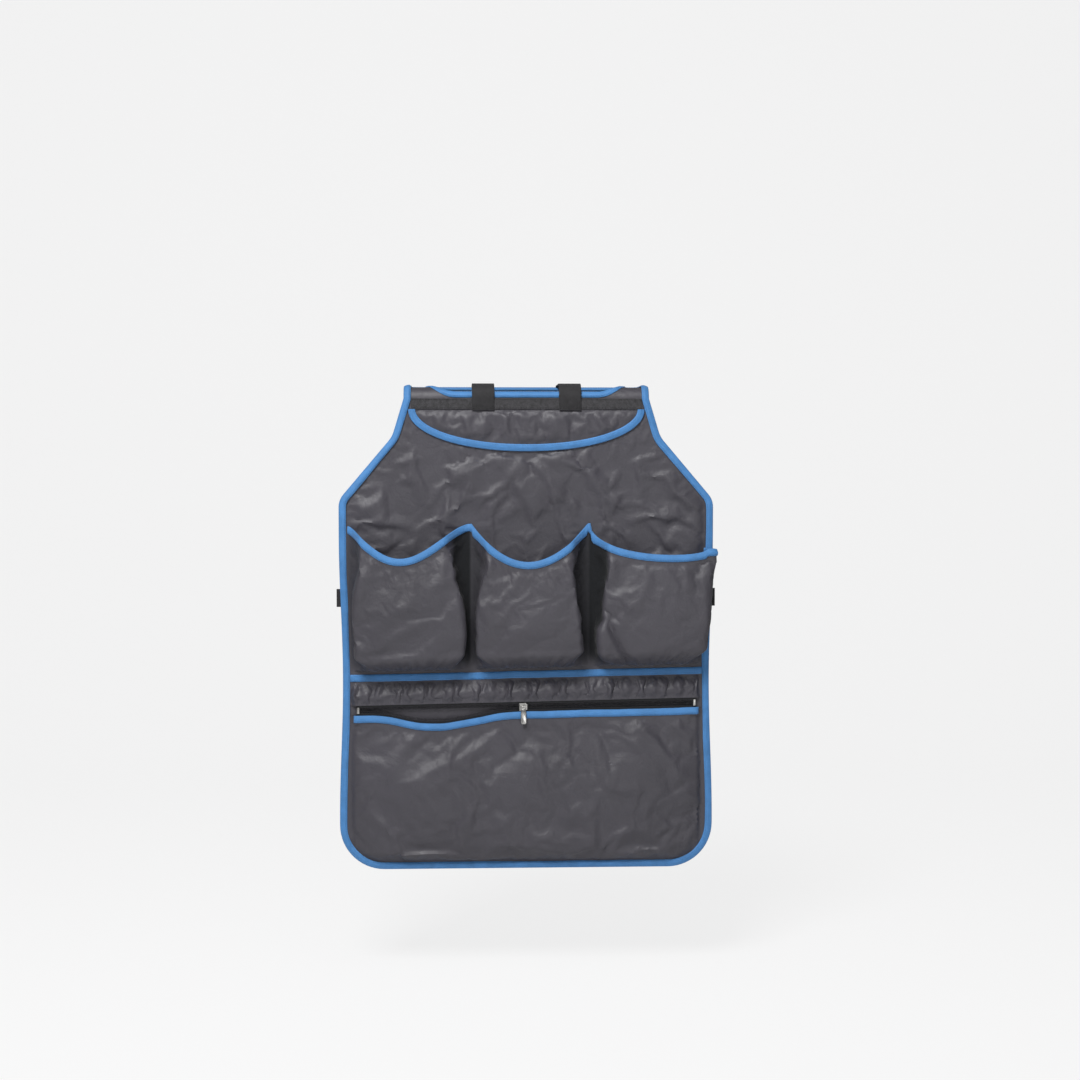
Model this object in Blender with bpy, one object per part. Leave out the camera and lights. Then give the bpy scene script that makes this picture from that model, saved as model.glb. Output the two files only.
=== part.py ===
# Car seat back organizer: a bib of dark nylon with blue bound edges. Its top folds over the
# seat and has a slot for the two head restraint posts. It carries a half-moon yoke, a pleated
# row of three pockets, and a large zipped pocket below them.
# Metres, +Z up. The pockets face -Y. The origin is the middle of the slot, level with the
# underside of the folded top.

import math

import bmesh
import bpy
from mathutils import Vector
from mathutils.geometry import delaunay_2d_cdt

# Cloth, tape and the seam clearance between layers
FABRIC = 0.0008
TAPE = 0.0006
GAP = 0.0003
BINDING_WIDTH = 0.0080
NOSE = 0.0010

# Outline of the bib
BODY_WIDTH = 0.4190
BODY_DROP = 0.5400
NECK_WIDTH = 0.2740
NECK_FOOT_WIDTH = 0.2996
NECK_FOOT_DROP = 0.0545
SHOULDER_DROP = 0.1250
NECK_RADIUS = 0.0300
SHOULDER_RADIUS = 0.0220
CORNER_RADIUS = 0.0500
WAIST_PULL = 0.0040
WAIST_TOP_DROP = 0.1650
WAIST_FOOT_DROP = 0.4850

# The top that folds over the seat, and its slot for the posts
FOLD_RADIUS = 0.0120
FLAP_REACH = 0.0520
FLAP_CORNER_RADIUS = 0.0150
SLOT_LENGTH = 0.2140
SLOT_HALF_DEPTH = 0.0280
SLOT_FOLD_DROP = 0.0080
SEAT_SETBACK = 0.0020
SLOT_BINDING_WIDTH = 0.0070

# Yoke, touch-fastener strip and the two tabs
YOKE_TOP_DROP = 0.0122
YOKE_CURVE_DROP = 0.0240
YOKE_DROP = 0.0708
YOKE_FULLNESS = 2.1
LOOP_STRIP_FOOT_DROP = 0.0237
TAB_SPACING = 0.0970
TAB_WIDTH = 0.0250
TAB_THICKNESS = 0.0011
TAB_FOOT_DROP = 0.0248
TAB_SEAM = 0.0140
TAB_RAMP = 0.0060

# Cross seams: both rise a little to the right, as the cloth was sewn
SEAM_RISE = math.radians(1.1)
DIVIDER_DROP = 0.3209
DIVIDER_TAPE_WIDTH = 0.0080
DIVIDER_TAPE_THICKNESS = 0.0010
ZIP_DROP = 0.3567

# The pleated row of pockets
VALLEYS = (-0.0630, 0.0700)
VALLEY_HALF = 0.0015
POCKET_DEPTH = 0.0380
POCKET_TOP_DEPTH = 0.0330
POCKET_FOOT_DEPTH = 0.0353
POCKET_SEAM_GAP = 0.0022
KINK_SHARE = 0.88
POCKET_ROLL = 0.0290
POCKET_HEM = 0.0085
PEAK_DROP = 0.1530
LEFT_END_DROP = 0.1552
RIGHT_END_DROP = 0.1802

# Zip
ZIP_END_MARGIN = 0.0190
COIL_END_MARGIN = 0.0035
COIL_GAP = 0.0006
COIL_WIDTH = 0.0021
COIL_THICKNESS = 0.0022
ZIP_TAPE = 0.0005
ZIP_TAPE_REACH = 0.0120
ZIP_STANDOFF = 0.0045
ZIP_LINE_SHOW = 0.0029
GATHER_PITCH = 0.0270
GATHER_DEPTH = 0.0030
MOUTH_SAG = 0.0105
MOUTH_BOW = 0.0030
SAG_LEFT_RUN = 0.0550
SAG_RIGHT_RUN = 0.0800
SLIDER_X = -0.0040
SLIDER_LENGTH = 0.0090
SLIDER_HEIGHT = 0.0084
SLIDER_PLATE = 0.0012
STOP_LENGTH = 0.0025
STOP_HEIGHT = 0.0070
STOP_PLATE = 0.0009
TAPE_SLOT = 0.00035
BRIDGE_STANDOFF = 0.0019
BRIDGE_HALF = 0.0004
LUG_HALF = 0.0007
PULL_WIDTH = 0.0062
PULL_LENGTH = 0.0190
PULL_THICKNESS = 0.0010
PULL_TIP = 0.0012
PULL_TIP_BEVEL = 0.0003
PULL_TILT = math.radians(10)
EYE_BORE = 0.0008
EYE_RADIUS = 0.0014
EYE_LENGTH = 0.0044
LUG_THICKNESS = 0.0010

# Large pocket below the zip
PANEL_EDGE_DROP = 0.0052
PANEL_BULGE = 0.0120
PANEL_HEM = 0.0095
PANEL_RISE = 0.0090
PANEL_TOP_RUN = 0.0600
PANEL_SIDE_RUN = 0.0900

# Webbing loops behind the side seams
LOOP_DROP = 0.2345
LOOP_HEIGHT = 0.0200
LOOP_LENGTH = 0.0240
LOOP_SHOW = 0.0045
LOOP_WEBBING = 0.0008
LOOP_SLIT = 0.0006

# Half sizes across the bib
BODY_HALF = BODY_WIDTH / 2
ZIP_HALF_LENGTH = BODY_HALF - ZIP_END_MARGIN
COIL_HALF_LENGTH = ZIP_HALF_LENGTH - COIL_END_MARGIN

# Layers, as distances out from the back panel's rear face
PANEL_FRONT = FABRIC
HEM = FABRIC + GAP + FABRIC / 2
RAISED_HEM = HEM + TAPE + GAP
HEM_FRONT = HEM + FABRIC / 2
YOKE_BACK = PANEL_FRONT + GAP + TAPE + GAP
YOKE_FRONT = YOKE_BACK + FABRIC
LOOP_STRIP_BACK = YOKE_FRONT + GAP
LOOP_STRIP_FRONT = LOOP_STRIP_BACK + FABRIC
TAB_BACK = LOOP_STRIP_FRONT + GAP
ZIP_TAPE_FRONT = ZIP_STANDOFF + ZIP_TAPE / 2
STRIP_MID = ZIP_TAPE_FRONT + GAP + FABRIC / 2
EDGE_MID = ZIP_TAPE_FRONT + GAP + TAPE + GAP + FABRIC / 2
COIL_FRONT = ZIP_STANDOFF + COIL_THICKNESS / 2
SLIDER_FACE = COIL_FRONT + GAP + SLIDER_PLATE
BRIDGE_AT = SLIDER_FACE + BRIDGE_STANDOFF
OPEN_FROM = -COIL_HALF_LENGTH + SLIDER_LENGTH + 2 * GAP
OPEN_TO = SLIDER_X - SLIDER_LENGTH / 2 - 2 * GAP

# Places that follow from those sizes
FOLD_LENGTH = FOLD_RADIUS * math.pi / 2
PANEL_Y = -SLOT_HALF_DEPTH - SEAT_SETBACK
FOLD_Y = PANEL_Y + FOLD_RADIUS
FLAP_END = FOLD_LENGTH + FLAP_REACH - FOLD_Y
SLOT_BACK = FOLD_LENGTH + SLOT_HALF_DEPTH - FOLD_Y
FOLD_STEPS = 6
FOLD_ROWS = [FOLD_LENGTH * i / FOLD_STEPS for i in range(FOLD_STEPS + 1)]

# Facet sizes
SIDE_ROW = 0.0450
BIB_FACET = 0.0600
PANEL_FACET = 0.0185
SHORT_EDGE = 0.0001

NYLON = ("charcoal_nylon", (0.085, 0.082, 0.095), 0.45, 0.0)
BLUE = ("blue_binding", (0.075, 0.270, 0.660), 0.60, 0.0)
WEBBING = ("black_webbing", (0.040, 0.038, 0.042), 0.85, 0.0)
ZIPPER = ("black_zip", (0.022, 0.022, 0.025), 0.60, 0.0)
METAL = ("nickel", (0.560, 0.550, 0.530), 0.30, 1.0)


# Scene and objects


def clear_scene():
    for item in list(bpy.data.objects):
        bpy.data.objects.remove(item, do_unlink=True)


def material_of(look):
    name, colour, roughness, metallic = look
    made = bpy.data.materials.get(name) or bpy.data.materials.new(name)
    made.use_nodes = True
    shader = made.node_tree.nodes["Principled BSDF"]
    shader.inputs["Base Color"].default_value = (*colour, 1.0)
    shader.inputs["Roughness"].default_value = roughness
    shader.inputs["Metallic"].default_value = metallic
    return made


def add_object(name, points, faces, look):
    """A closed mesh with its faces turned outwards."""
    mesh = bpy.data.meshes.new(name)
    mesh.from_pydata([tuple(p) for p in points], [], faces)
    shape = bmesh.new()
    shape.from_mesh(mesh)
    bmesh.ops.recalc_face_normals(shape, faces=shape.faces)
    shape.to_mesh(mesh)
    shape.free()
    mesh.shade_smooth()
    mesh.set_sharp_from_angle(angle=math.radians(35))
    mesh.materials.append(material_of(look))
    made = bpy.data.objects.new(name, mesh)
    bpy.context.scene.collection.objects.link(made)
    return made


def loft(name, sections, look, ring=False):
    """Joins like sections of points into a tube: a ring, or an open run with end caps."""
    count = len(sections[0])
    points = [p for section in sections for p in section]
    spans = len(sections) if ring else len(sections) - 1
    faces = []
    for i in range(spans):
        here = i * count
        there = (i + 1) % len(sections) * count
        for k in range(count):
            after = (k + 1) % count
            faces.append((here + k, here + after, there + after, there + k))
    if not ring:
        faces.append(tuple(range(count))[::-1])
        faces.append(tuple(range(len(points) - count, len(points))))
    return add_object(name, points, faces, look)


# Places on the cloth: u across, v up along the cloth from the foot of the fold, w outwards


def lay(u, v, w):
    """A point of the cloth, which hangs, turns over the fold and lies along the seat's top."""
    if v <= 0:
        return Vector((u, PANEL_Y - w, v - FOLD_RADIUS))
    if v < FOLD_LENGTH:
        turn = v / FOLD_RADIUS
        reach = FOLD_RADIUS + w
        return Vector((u, FOLD_Y - reach * math.cos(turn), reach * math.sin(turn) - FOLD_RADIUS))
    return Vector((u, FOLD_Y + v - FOLD_LENGTH, w))


def hang(x, z, w):
    """A point below the fold."""
    return Vector((x, PANEL_Y - w, z))


def along(drop):
    """The cloth's v at this drop below the top."""
    return FOLD_RADIUS - drop


def half_width(z):
    """Half the bound width at height z, drawn in at the waist."""
    share = (-z - WAIST_TOP_DROP) / (WAIST_FOOT_DROP - WAIST_TOP_DROP)
    if not 0 < share < 1:
        return BODY_HALF
    return BODY_HALF - WAIST_PULL * math.sin(math.pi * share) ** 2


def seam_z(x, drop):
    """Height of a cross seam that crosses the middle at this drop."""
    return -drop + x * math.tan(SEAM_RISE)


def smooth(share):
    share = min(1.0, max(0.0, share))
    return share * share * (3 - 2 * share)


# Outlines


def rounded(corners, arc_step=math.radians(15)):
    """A closed outline through (point, radius) corners, each turned as an arc."""
    made = []
    for i, (corner, radius) in enumerate(corners):
        back = (corners[i - 1][0] - corner).normalized()
        ahead = (corners[(i + 1) % len(corners)][0] - corner).normalized()
        half = back.angle(ahead) / 2
        if radius == 0:
            made.append(corner)
            continue
        centre = corner + (back + ahead).normalized() * radius / math.sin(half)
        start = corner + back * radius / math.tan(half) - centre
        finish = corner + ahead * radius / math.tan(half) - centre
        turn = math.pi - 2 * half
        side = math.copysign(1, start.x * finish.y - start.y * finish.x)
        steps = max(2, math.ceil(turn / arc_step))
        for k in range(steps + 1):
            angle = side * turn * k / steps
            spin = Vector(
                (
                    start.x * math.cos(angle) - start.y * math.sin(angle),
                    start.x * math.sin(angle) + start.y * math.cos(angle),
                )
            )
            made.append(centre + spin)
    return made


def cut_at(outline, rows):
    """The outline with a point wherever it crosses one of these v rows."""
    made = []
    for i, here in enumerate(outline):
        after = outline[(i + 1) % len(outline)]
        made.append(here)
        rise = after.y - here.y
        crossed = [r for r in rows if min(here.y, after.y) + 1e-5 < r < max(here.y, after.y) - 1e-5]
        for row in sorted(crossed, reverse=rise < 0):
            made.append(here.lerp(after, (row - here.y) / rise))
    return made


def inward(outline):
    """At each point, the vector that carries the outline inwards by one."""
    made = []
    for i, here in enumerate(outline):
        before = (here - outline[i - 1]).normalized()
        after = (outline[(i + 1) % len(outline)] - here).normalized()
        normal = Vector((-before.y - after.y, before.x + after.x)).normalized()
        made.append(normal / max(0.5, normal.dot(Vector((-before.y, before.x)))))
    return made


def moved_in(outline, distance):
    return [p + n * distance for p, n in zip(outline, inward(outline))]


def bib_outline():
    """The finished edge, anticlockwise seen from the front."""
    right = [
        (Vector((BODY_HALF, along(BODY_DROP))), CORNER_RADIUS),
        (Vector((BODY_HALF, along(SHOULDER_DROP))), SHOULDER_RADIUS),
        (Vector((NECK_FOOT_WIDTH / 2, along(NECK_FOOT_DROP))), NECK_RADIUS),
        (Vector((NECK_WIDTH / 2, 0.0)), 0),
        (Vector((NECK_WIDTH / 2, FLAP_END)), FLAP_CORNER_RADIUS),
    ]
    left = [(Vector((-corner.x, corner.y)), radius) for corner, radius in reversed(right)]
    side_rows = [along(SHOULDER_DROP) - SIDE_ROW * i for i in range(1, int(BODY_DROP / SIDE_ROW))]
    outline = cut_at(rounded(right + left), FOLD_ROWS + side_rows)
    for point in outline:
        if abs(point.x) > BODY_HALF - 1e-5:
            point.x = math.copysign(half_width(point.y - FOLD_RADIUS), point.x)
    return outline


def slot_outline():
    """The slot's finished edge, clockwise, so that inward leads into the cloth."""
    radius = (SLOT_BACK - SLOT_FOLD_DROP) / 2 - SHORT_EDGE
    half = SLOT_LENGTH / 2
    corners = [
        (Vector((-half, SLOT_FOLD_DROP)), radius),
        (Vector((-half, SLOT_BACK)), radius),
        (Vector((half, SLOT_BACK)), radius),
        (Vector((half, SLOT_FOLD_DROP)), radius),
    ]
    return rounded(corners, math.radians(10))


# Sheets and bindings


def inside(point, outline):
    crossings = False
    for i, here in enumerate(outline):
        before = outline[i - 1]
        if (here.y > point.y) != (before.y > point.y):
            at = (before.x - here.x) * (point.y - here.y) / (before.y - here.y) + here.x
            crossings ^= point.x < at
    return crossings


def sheet(name, outline, look, place, depth=FABRIC, holes=(), inner=(), creases=()):
    """A cloth of this outline and thickness. place(u, v, extra) puts a point of its rear face.
    Creases are (start, end) lines that its facets follow."""
    flat, loops, lines = [], [], []
    for loop in (outline, *[hole[::-1] for hole in holes]):
        loops.append(list(range(len(flat), len(flat) + len(loop))))
        flat.extend(loop)
    for start, end in creases:
        lines.append((len(flat), len(flat) + 1))
        flat.extend((start, end))
    flat.extend(inner)
    points, _, faces, _, _, within = delaunay_2d_cdt(flat, lines, loops, 0, 1e-6)
    kept = [tuple(face) for face, held in zip(faces, within) if held == [0]]
    sides = {}
    for face in kept:
        for k, a in enumerate(face):
            sides[(a, face[(k + 1) % len(face)])] = True
    rim = [(a, b) for a, b in sides if (b, a) not in sides]
    count = len(points)
    solid = [place(p.x, p.y, depth) for p in points] + [place(p.x, p.y, 0.0) for p in points]
    faces = kept + [tuple(i + count for i in reversed(face)) for face in kept]
    faces += [(a, a + count, b + count, b) for a, b in rim]
    used = sorted({i for face in faces for i in face})
    index = {old: new for new, old in enumerate(used)}
    faces = [tuple(index[i] for i in face) for face in faces]
    return add_object(name, [solid[i] for i in used], faces, look)


def fold_profile(width, low, high, leg_steps=1):
    """Section of a tape folded over an edge, as (distance in from the fold, w). Layers between
    low and high lie in its channel."""
    front, back = high + GAP + TAPE, low - GAP - TAPE
    radius, middle = (front - back) / 2, (front + back) / 2
    run = [(width - (width - radius) * i / leg_steps, front) for i in range(leg_steps)]
    for k in range(5):
        angle = math.pi / 2 + math.pi * k / 4
        run.append((radius + radius * math.cos(angle), middle + radius * math.sin(angle)))
    run += [(radius + (width - radius) * i / leg_steps, back) for i in range(1, leg_steps + 1)]
    run += [(width - (width - NOSE) * i / leg_steps, low - GAP) for i in range(leg_steps + 1)]
    run += [(NOSE + (width - NOSE) * i / leg_steps, high + GAP) for i in range(leg_steps + 1)]
    return run


def bound_edge(name, outline, profile):
    """Blue tape folded over a closed edge of the cloth."""
    sections = [
        [lay(p.x + n.x * a, p.y + n.y * a, w) for a, w in profile]
        for p, n in zip(outline, inward(outline))
    ]
    return loft(name, sections, BLUE, ring=True)


# The bib with its folded top


def grid_points(low_u, high_u, low_v, high_v, step):
    across = max(1, round((high_u - low_u) / step))
    up = max(1, round((high_v - low_v) / step))
    return [
        Vector((low_u + (high_u - low_u) * i / across, low_v + (high_v - low_v) * k / up))
        for i in range(across + 1)
        for k in range(up + 1)
    ]


def make_back_panel(outline, slot):
    edge = moved_in(outline, NOSE + GAP)
    hole = cut_at(moved_in(slot, NOSE + GAP), FOLD_ROWS)
    half = NECK_WIDTH / 2 - NOSE - GAP
    folds = [(Vector((-half, row)), Vector((half, row))) for row in FOLD_ROWS]
    low, high = along(BODY_DROP), -BIB_FACET / 2
    body = grid_points(-BODY_HALF, BODY_HALF, low, high, BIB_FACET)
    room = moved_in(edge, BIB_FACET / 10)
    inner = [p for p in body if inside(p, room)]
    return sheet("back_panel", edge, NYLON, lay, holes=[hole], inner=inner, creases=folds)


def make_slot_binding(slot):
    profile = fold_profile(SLOT_BINDING_WIDTH, 0.0, PANEL_FRONT, leg_steps=2)
    return bound_edge("slot_binding", cut_at(slot, FOLD_ROWS), profile)


# Yoke, fastener strip and tabs


def yoke_edge(inset):
    """The yoke's curved lower edge, left to right, moved in from its binding's fold."""
    across = neck_inner(YOKE_CURVE_DROP) - GAP - inset
    deep = YOKE_DROP - YOKE_CURVE_DROP - inset
    made = []
    steps = 32
    for i in range(steps + 1):
        angle = math.pi * i / steps
        swing = math.copysign(abs(math.cos(angle)) ** (2 / YOKE_FULLNESS), -math.cos(angle))
        fall = math.sin(angle) ** (2 / YOKE_FULLNESS) if 0 < i < steps else 0.0
        made.append(Vector((across * swing, along(YOKE_CURVE_DROP) - deep * fall)))
    return made


def neck_inner(drop):
    """Half the clear width between the side bindings on the neck."""
    spread = (NECK_FOOT_WIDTH - NECK_WIDTH) / 2 * (drop - FOLD_RADIUS)
    return NECK_WIDTH / 2 + spread / (NECK_FOOT_DROP - FOLD_RADIUS) - BINDING_WIDTH - GAP


def make_yoke():
    curve = yoke_edge(NOSE + GAP)
    top = along(YOKE_TOP_DROP)
    shoulder = neck_inner(YOKE_TOP_DROP)
    outline = [Vector((shoulder, top)), Vector((-shoulder, top)), *curve]
    sheet("yoke_panel", outline, NYLON, lambda u, v, extra: lay(u, v, YOKE_BACK + extra))
    outer = yoke_edge(0.0)
    profile = fold_profile(BINDING_WIDTH, YOKE_BACK, YOKE_FRONT)
    sections = []
    for i, here in enumerate(outer):
        before = outer[max(0, i - 1)]
        after = outer[min(len(outer) - 1, i + 1)]
        ahead = (after - before).normalized()
        normal = Vector((-ahead.y, ahead.x))
        if i in (0, len(outer) - 1):
            normal = Vector((-math.copysign(1, here.x), 0))
        sections.append(
            [lay(here.x + normal.x * a, here.y + normal.y * a, w) for a, w in profile]
        )
    loft("yoke_binding", sections, BLUE)


def make_loop_strip():
    top, foot = along(YOKE_TOP_DROP), along(LOOP_STRIP_FOOT_DROP)
    half = neck_inner(YOKE_TOP_DROP)
    outline = [Vector((-half, foot)), Vector((half, foot)), Vector((half, top)), Vector((-half, top))]
    sheet("loop_strip", outline, WEBBING, lambda u, v, extra: lay(u, v, LOOP_STRIP_BACK + extra))


def make_tab(name, middle):
    """A webbing tab sewn behind the slot, which crosses it and closes on the loop strip."""
    foot = along(TAB_FOOT_DROP)
    head = SLOT_BACK + TAB_SEAM
    flat_from = SLOT_BACK + SLOT_BINDING_WIDTH
    steps = 24
    sections = []
    for i in range(steps + 1):
        v = foot + (head - foot) * i / steps
        rise = smooth((flat_from + TAB_RAMP - v) / TAB_RAMP)
        back = PANEL_FRONT + GAP + (TAB_BACK - PANEL_FRONT - GAP) * rise
        front = back + TAB_THICKNESS
        corners = ((-1, back), (1, back), (1, front), (-1, front))
        sections.append([lay(middle + side * TAB_WIDTH / 2, v, w) for side, w in corners])
    loft(name, sections, WEBBING)


# The pleated row of three pockets


def between(top, middle, foot, share):
    """A smooth run through three values at shares 0, 0.5 and 1."""
    return (
        top * (1 - share) * (1 - 2 * share)
        + middle * 4 * share * (1 - share)
        + foot * share * (2 * share - 1)
    )


# Each pocket: its edges' drops, how far its mouth dips, where and how sharply
MOUTHS = (
    (LEFT_END_DROP, PEAK_DROP, 0.0360, 0.44, 1.5),
    (PEAK_DROP, PEAK_DROP, 0.0410, 0.48, 0.9),
    (PEAK_DROP, RIGHT_END_DROP, 0.0200, 0.33, 0.6),
)
# How far its left and right front edges stand in from its seams, at the top, middle and foot
GUSSETS = (
    ((0.0150, 0.0050, 0.0040), (0.0260, 0.0080, 0.0050)),
    ((0.0165, 0.0060, 0.0045), (0.0190, 0.0120, 0.0060)),
    ((0.0190, 0.0110, 0.0050), (-0.0110, -0.0070, -0.0040)),
)
GUSSET_STEPS = 4
FRONT_STEPS = 7
ROLL_STEPS = 4
ROW_SHARES = (0.22, 0.42, 0.62, 0.82, 1.0)
GUSSET_BEND = 0.6
MOUTH_ROW = 0.0130


def pocket_section(gussets, left, right, share, depth, foot_at):
    """(x, w) of the columns from one seam of a pocket to the other."""
    inset_left, inset_right = (between(*insets, share) for insets in gussets)
    kink = depth * KINK_SHARE

    def gusset(foot, inset):
        """From the seam out to the front edge, leaving straight out."""
        made = []
        for i in range(GUSSET_STEPS):
            t = i / GUSSET_STEPS
            lean = t * t * inset
            bend = foot_at + GUSSET_BEND * (kink - foot_at)
            out = (1 - t) ** 2 * foot_at + 2 * t * (1 - t) * bend + t * t * kink
            made.append((foot + lean, out))
        return made

    start = gusset(left, inset_left)
    finish = gusset(right, -inset_right)[::-1]
    front_left, front_right = left + inset_left, right - inset_right
    front = []
    for i in range(FRONT_STEPS + 1):
        s = i / FRONT_STEPS
        bow = kink + (depth - kink) * math.sin(math.pi * s)
        front.append((front_left + (front_right - front_left) * s, bow))
    return start + front + finish


def mouth_drop(mouth, left, right, x):
    """Drop of a pocket's bound edge at x."""
    s = min(1.0, max(0.0, (x - left) / (right - left)))
    start, finish, dip, lowest, sharpness = mouth
    skewed = s ** (math.log(0.5) / math.log(lowest))
    return start + (finish - start) * s + dip * math.sin(math.pi * skewed) ** sharpness


def pocket_spans(z):
    """The (left, right) seams of the three pockets at height z."""
    end = half_width(z) - BINDING_WIDTH - POCKET_SEAM_GAP
    seams = [-end, VALLEYS[0] - VALLEY_HALF, VALLEYS[0] + VALLEY_HALF]
    seams += [VALLEYS[1] - VALLEY_HALF, VALLEYS[1] + VALLEY_HALF, end]
    return [(seams[0], seams[1]), (seams[2], seams[3]), (seams[4], seams[5])]


def section_at(z, share, depth, foot_at):
    """The whole row's section, with the side hems that lie in the edge binding."""
    channel = half_width(z) - NOSE - 2 * GAP
    leaving = half_width(z) - BINDING_WIDTH
    made = [(-channel, HEM), (-leaving, HEM)]
    for gussets, (left, right) in zip(GUSSETS, pocket_spans(z)):
        made += pocket_section(gussets, left, right, share, depth, foot_at)
    return made + [(leaving, HEM), (channel, HEM)]


def pocket_depth(share):
    return between(POCKET_TOP_DEPTH, POCKET_DEPTH, POCKET_FOOT_DEPTH, share)


def mouth_drops():
    """Drop of the bound edge at each column."""
    z = -PEAK_DROP
    spans = pocket_spans(z)
    made = []
    for x, _ in section_at(z, 0.0, POCKET_TOP_DEPTH, HEM):
        k = 0 if x < VALLEYS[0] else 1 if x < VALLEYS[1] else 2
        made.append(mouth_drop(MOUTHS[k], *spans[k], x))
    return made


def gathered_places(row):
    """Where each column ends in the bottom seam, its gussets spread between the side seams."""
    span = 2 * GUSSET_STEPS + FRONT_STEPS + 1
    first, last = 2, len(row) - 3
    made = [p.x for p in row]
    for k in range(first, last + 1):
        column = (k - first) % span
        seam = k - column
        left, right = row[seam].x, row[seam + span - 1].x
        made[k] = left + (right - left) * column / (span - 1)
    return made


def pocket_rows():
    """Rows of points on the cloth's middle, from the bound edge to the hem."""
    drops = mouth_drops()
    rows = []
    top = section_at(-PEAK_DROP, 0.0, POCKET_TOP_DEPTH, RAISED_HEM)
    rows.append([hang(x, -drop, w) for (x, w), drop in zip(top, drops)])
    rows.append([hang(x, -drop - MOUTH_ROW, w) for (x, w), drop in zip(top, drops)])
    for share in ROW_SHARES:
        row = []
        for k, drop in enumerate(drops):
            start = -drop - MOUTH_ROW
            finish = seam_z(rows[0][k].x, DIVIDER_DROP) + POCKET_ROLL
            z = start + (finish - start) * share
            x, w = section_at(z, share, pocket_depth(share), HEM)[k]
            row.append(hang(x, z, w))
        rows.append(row)
    roll = POCKET_ROLL - POCKET_HEM
    gathered = gathered_places(rows[-1])
    low = rows[-1]
    for i in range(1, ROLL_STEPS + 1):
        turn = math.pi / 2 * i / ROLL_STEPS
        row = []
        for point, flat_x in zip(low, gathered):
            x = point.x + (flat_x - point.x) * smooth(math.sin(turn))
            w = HEM + (PANEL_Y - point.y - HEM) * math.cos(turn)
            z = seam_z(x, DIVIDER_DROP) + POCKET_ROLL - roll * math.sin(turn)
            row.append(hang(x, z, w))
        rows.append(row)
    rows.append([hang(p.x, seam_z(p.x, DIVIDER_DROP) + GAP, HEM) for p in rows[-1]])
    return rows


def grid_normals(rows):
    """Outward vectors that keep an even thickness where the cloth turns a corner."""
    count, across = len(rows), len(rows[0])
    made = []
    for i in range(count):
        line = []
        for k in range(across):
            facing = []
            for a in (i - 1, i):
                for b in (k - 1, k):
                    if 0 <= a < count - 1 and 0 <= b < across - 1:
                        side = rows[a][b + 1] - rows[a][b]
                        fall = rows[a + 1][b] - rows[a][b]
                        facing.append(fall.cross(side).normalized())
            middle = sum(facing, Vector()).normalized()
            tight = min(middle.dot(face) for face in facing)
            line.append(middle / max(0.6, tight))
        made.append(line)
    made[1] = [normal.copy() for normal in made[0]]
    return made


def thick_grid(name, rows, normals, look, depth=FABRIC):
    """A cloth of even thickness about a grid of points on its middle."""
    across = len(rows[0])
    flat = [p for row in rows for p in row]
    away = [n for line in normals for n in line]
    count = len(flat)
    points = [p + n * depth / 2 for p, n in zip(flat, away)]
    points += [p - n * depth / 2 for p, n in zip(flat, away)]
    faces = []
    for i in range(len(rows) - 1):
        for k in range(across - 1):
            a = i * across + k
            b = a + across
            faces.append((a, b, b + 1, a + 1))
            faces.append((a + count, a + 1 + count, b + 1 + count, b + count))
    last = (len(rows) - 1) * across
    border = [k for k in range(across)]
    border += [i * across + across - 1 for i in range(1, len(rows))]
    border += [last + k for k in range(across - 2, -1, -1)]
    border += [i * across for i in range(len(rows) - 2, 0, -1)]
    for i, a in enumerate(border):
        b = border[(i + 1) % len(border)]
        faces.append((a, b, b + count, a + count))
    return add_object(name, points, faces, look)


def make_pocket_strip():
    rows = pocket_rows()
    normals = grid_normals(rows)
    thick_grid("pocket_strip", rows, normals, NYLON)
    profile = fold_profile(BINDING_WIDTH, -FABRIC / 2, FABRIC / 2)
    sections = []
    for k in range(2, len(rows[0]) - 2):
        edge = rows[0][k]
        run = rows[0][k + 1] - rows[0][k - 1]
        level = math.hypot(run.x, run.y)
        slant = min(1.5, run.length / max(level, 1e-6))
        lift = NOSE + GAP
        normal = normals[0][k]
        sections.append(
            [edge + normal * w + Vector((0, 0, (lift - a) * slant)) for a, w in profile]
        )
    loft("pocket_strip_binding", sections, BLUE)


# Divider tape, and the gathered strip above the zip


def seam_end(drop):
    """Half the clear width between the side bindings at this drop."""
    return half_width(-drop) - BINDING_WIDTH - GAP


def make_divider_binding():
    end = seam_end(DIVIDER_DROP)
    half = DIVIDER_TAPE_WIDTH / 2
    back = HEM_FRONT + GAP
    front = back + DIVIDER_TAPE_THICKNESS
    crown = half - DIVIDER_TAPE_THICKNESS
    profile = [(half, back), (crown, front), (-crown, front), (-half, back)]
    sections = []
    steps = 20
    for i in range(steps + 1):
        x = -end + 2 * end * i / steps
        sections.append([hang(x, seam_z(x, DIVIDER_DROP) + rise, w) for rise, w in profile])
    loft("divider_binding", sections, BLUE)


def stand_off(x, near, far, z):
    """A layer's w along the zip: far over its length, then down to near inside the side seam."""
    end = half_width(z) - PANEL_HEM
    start = ZIP_HALF_LENGTH + GAP
    return near + (far - near) * smooth((end - abs(x)) / (end - start))


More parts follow.
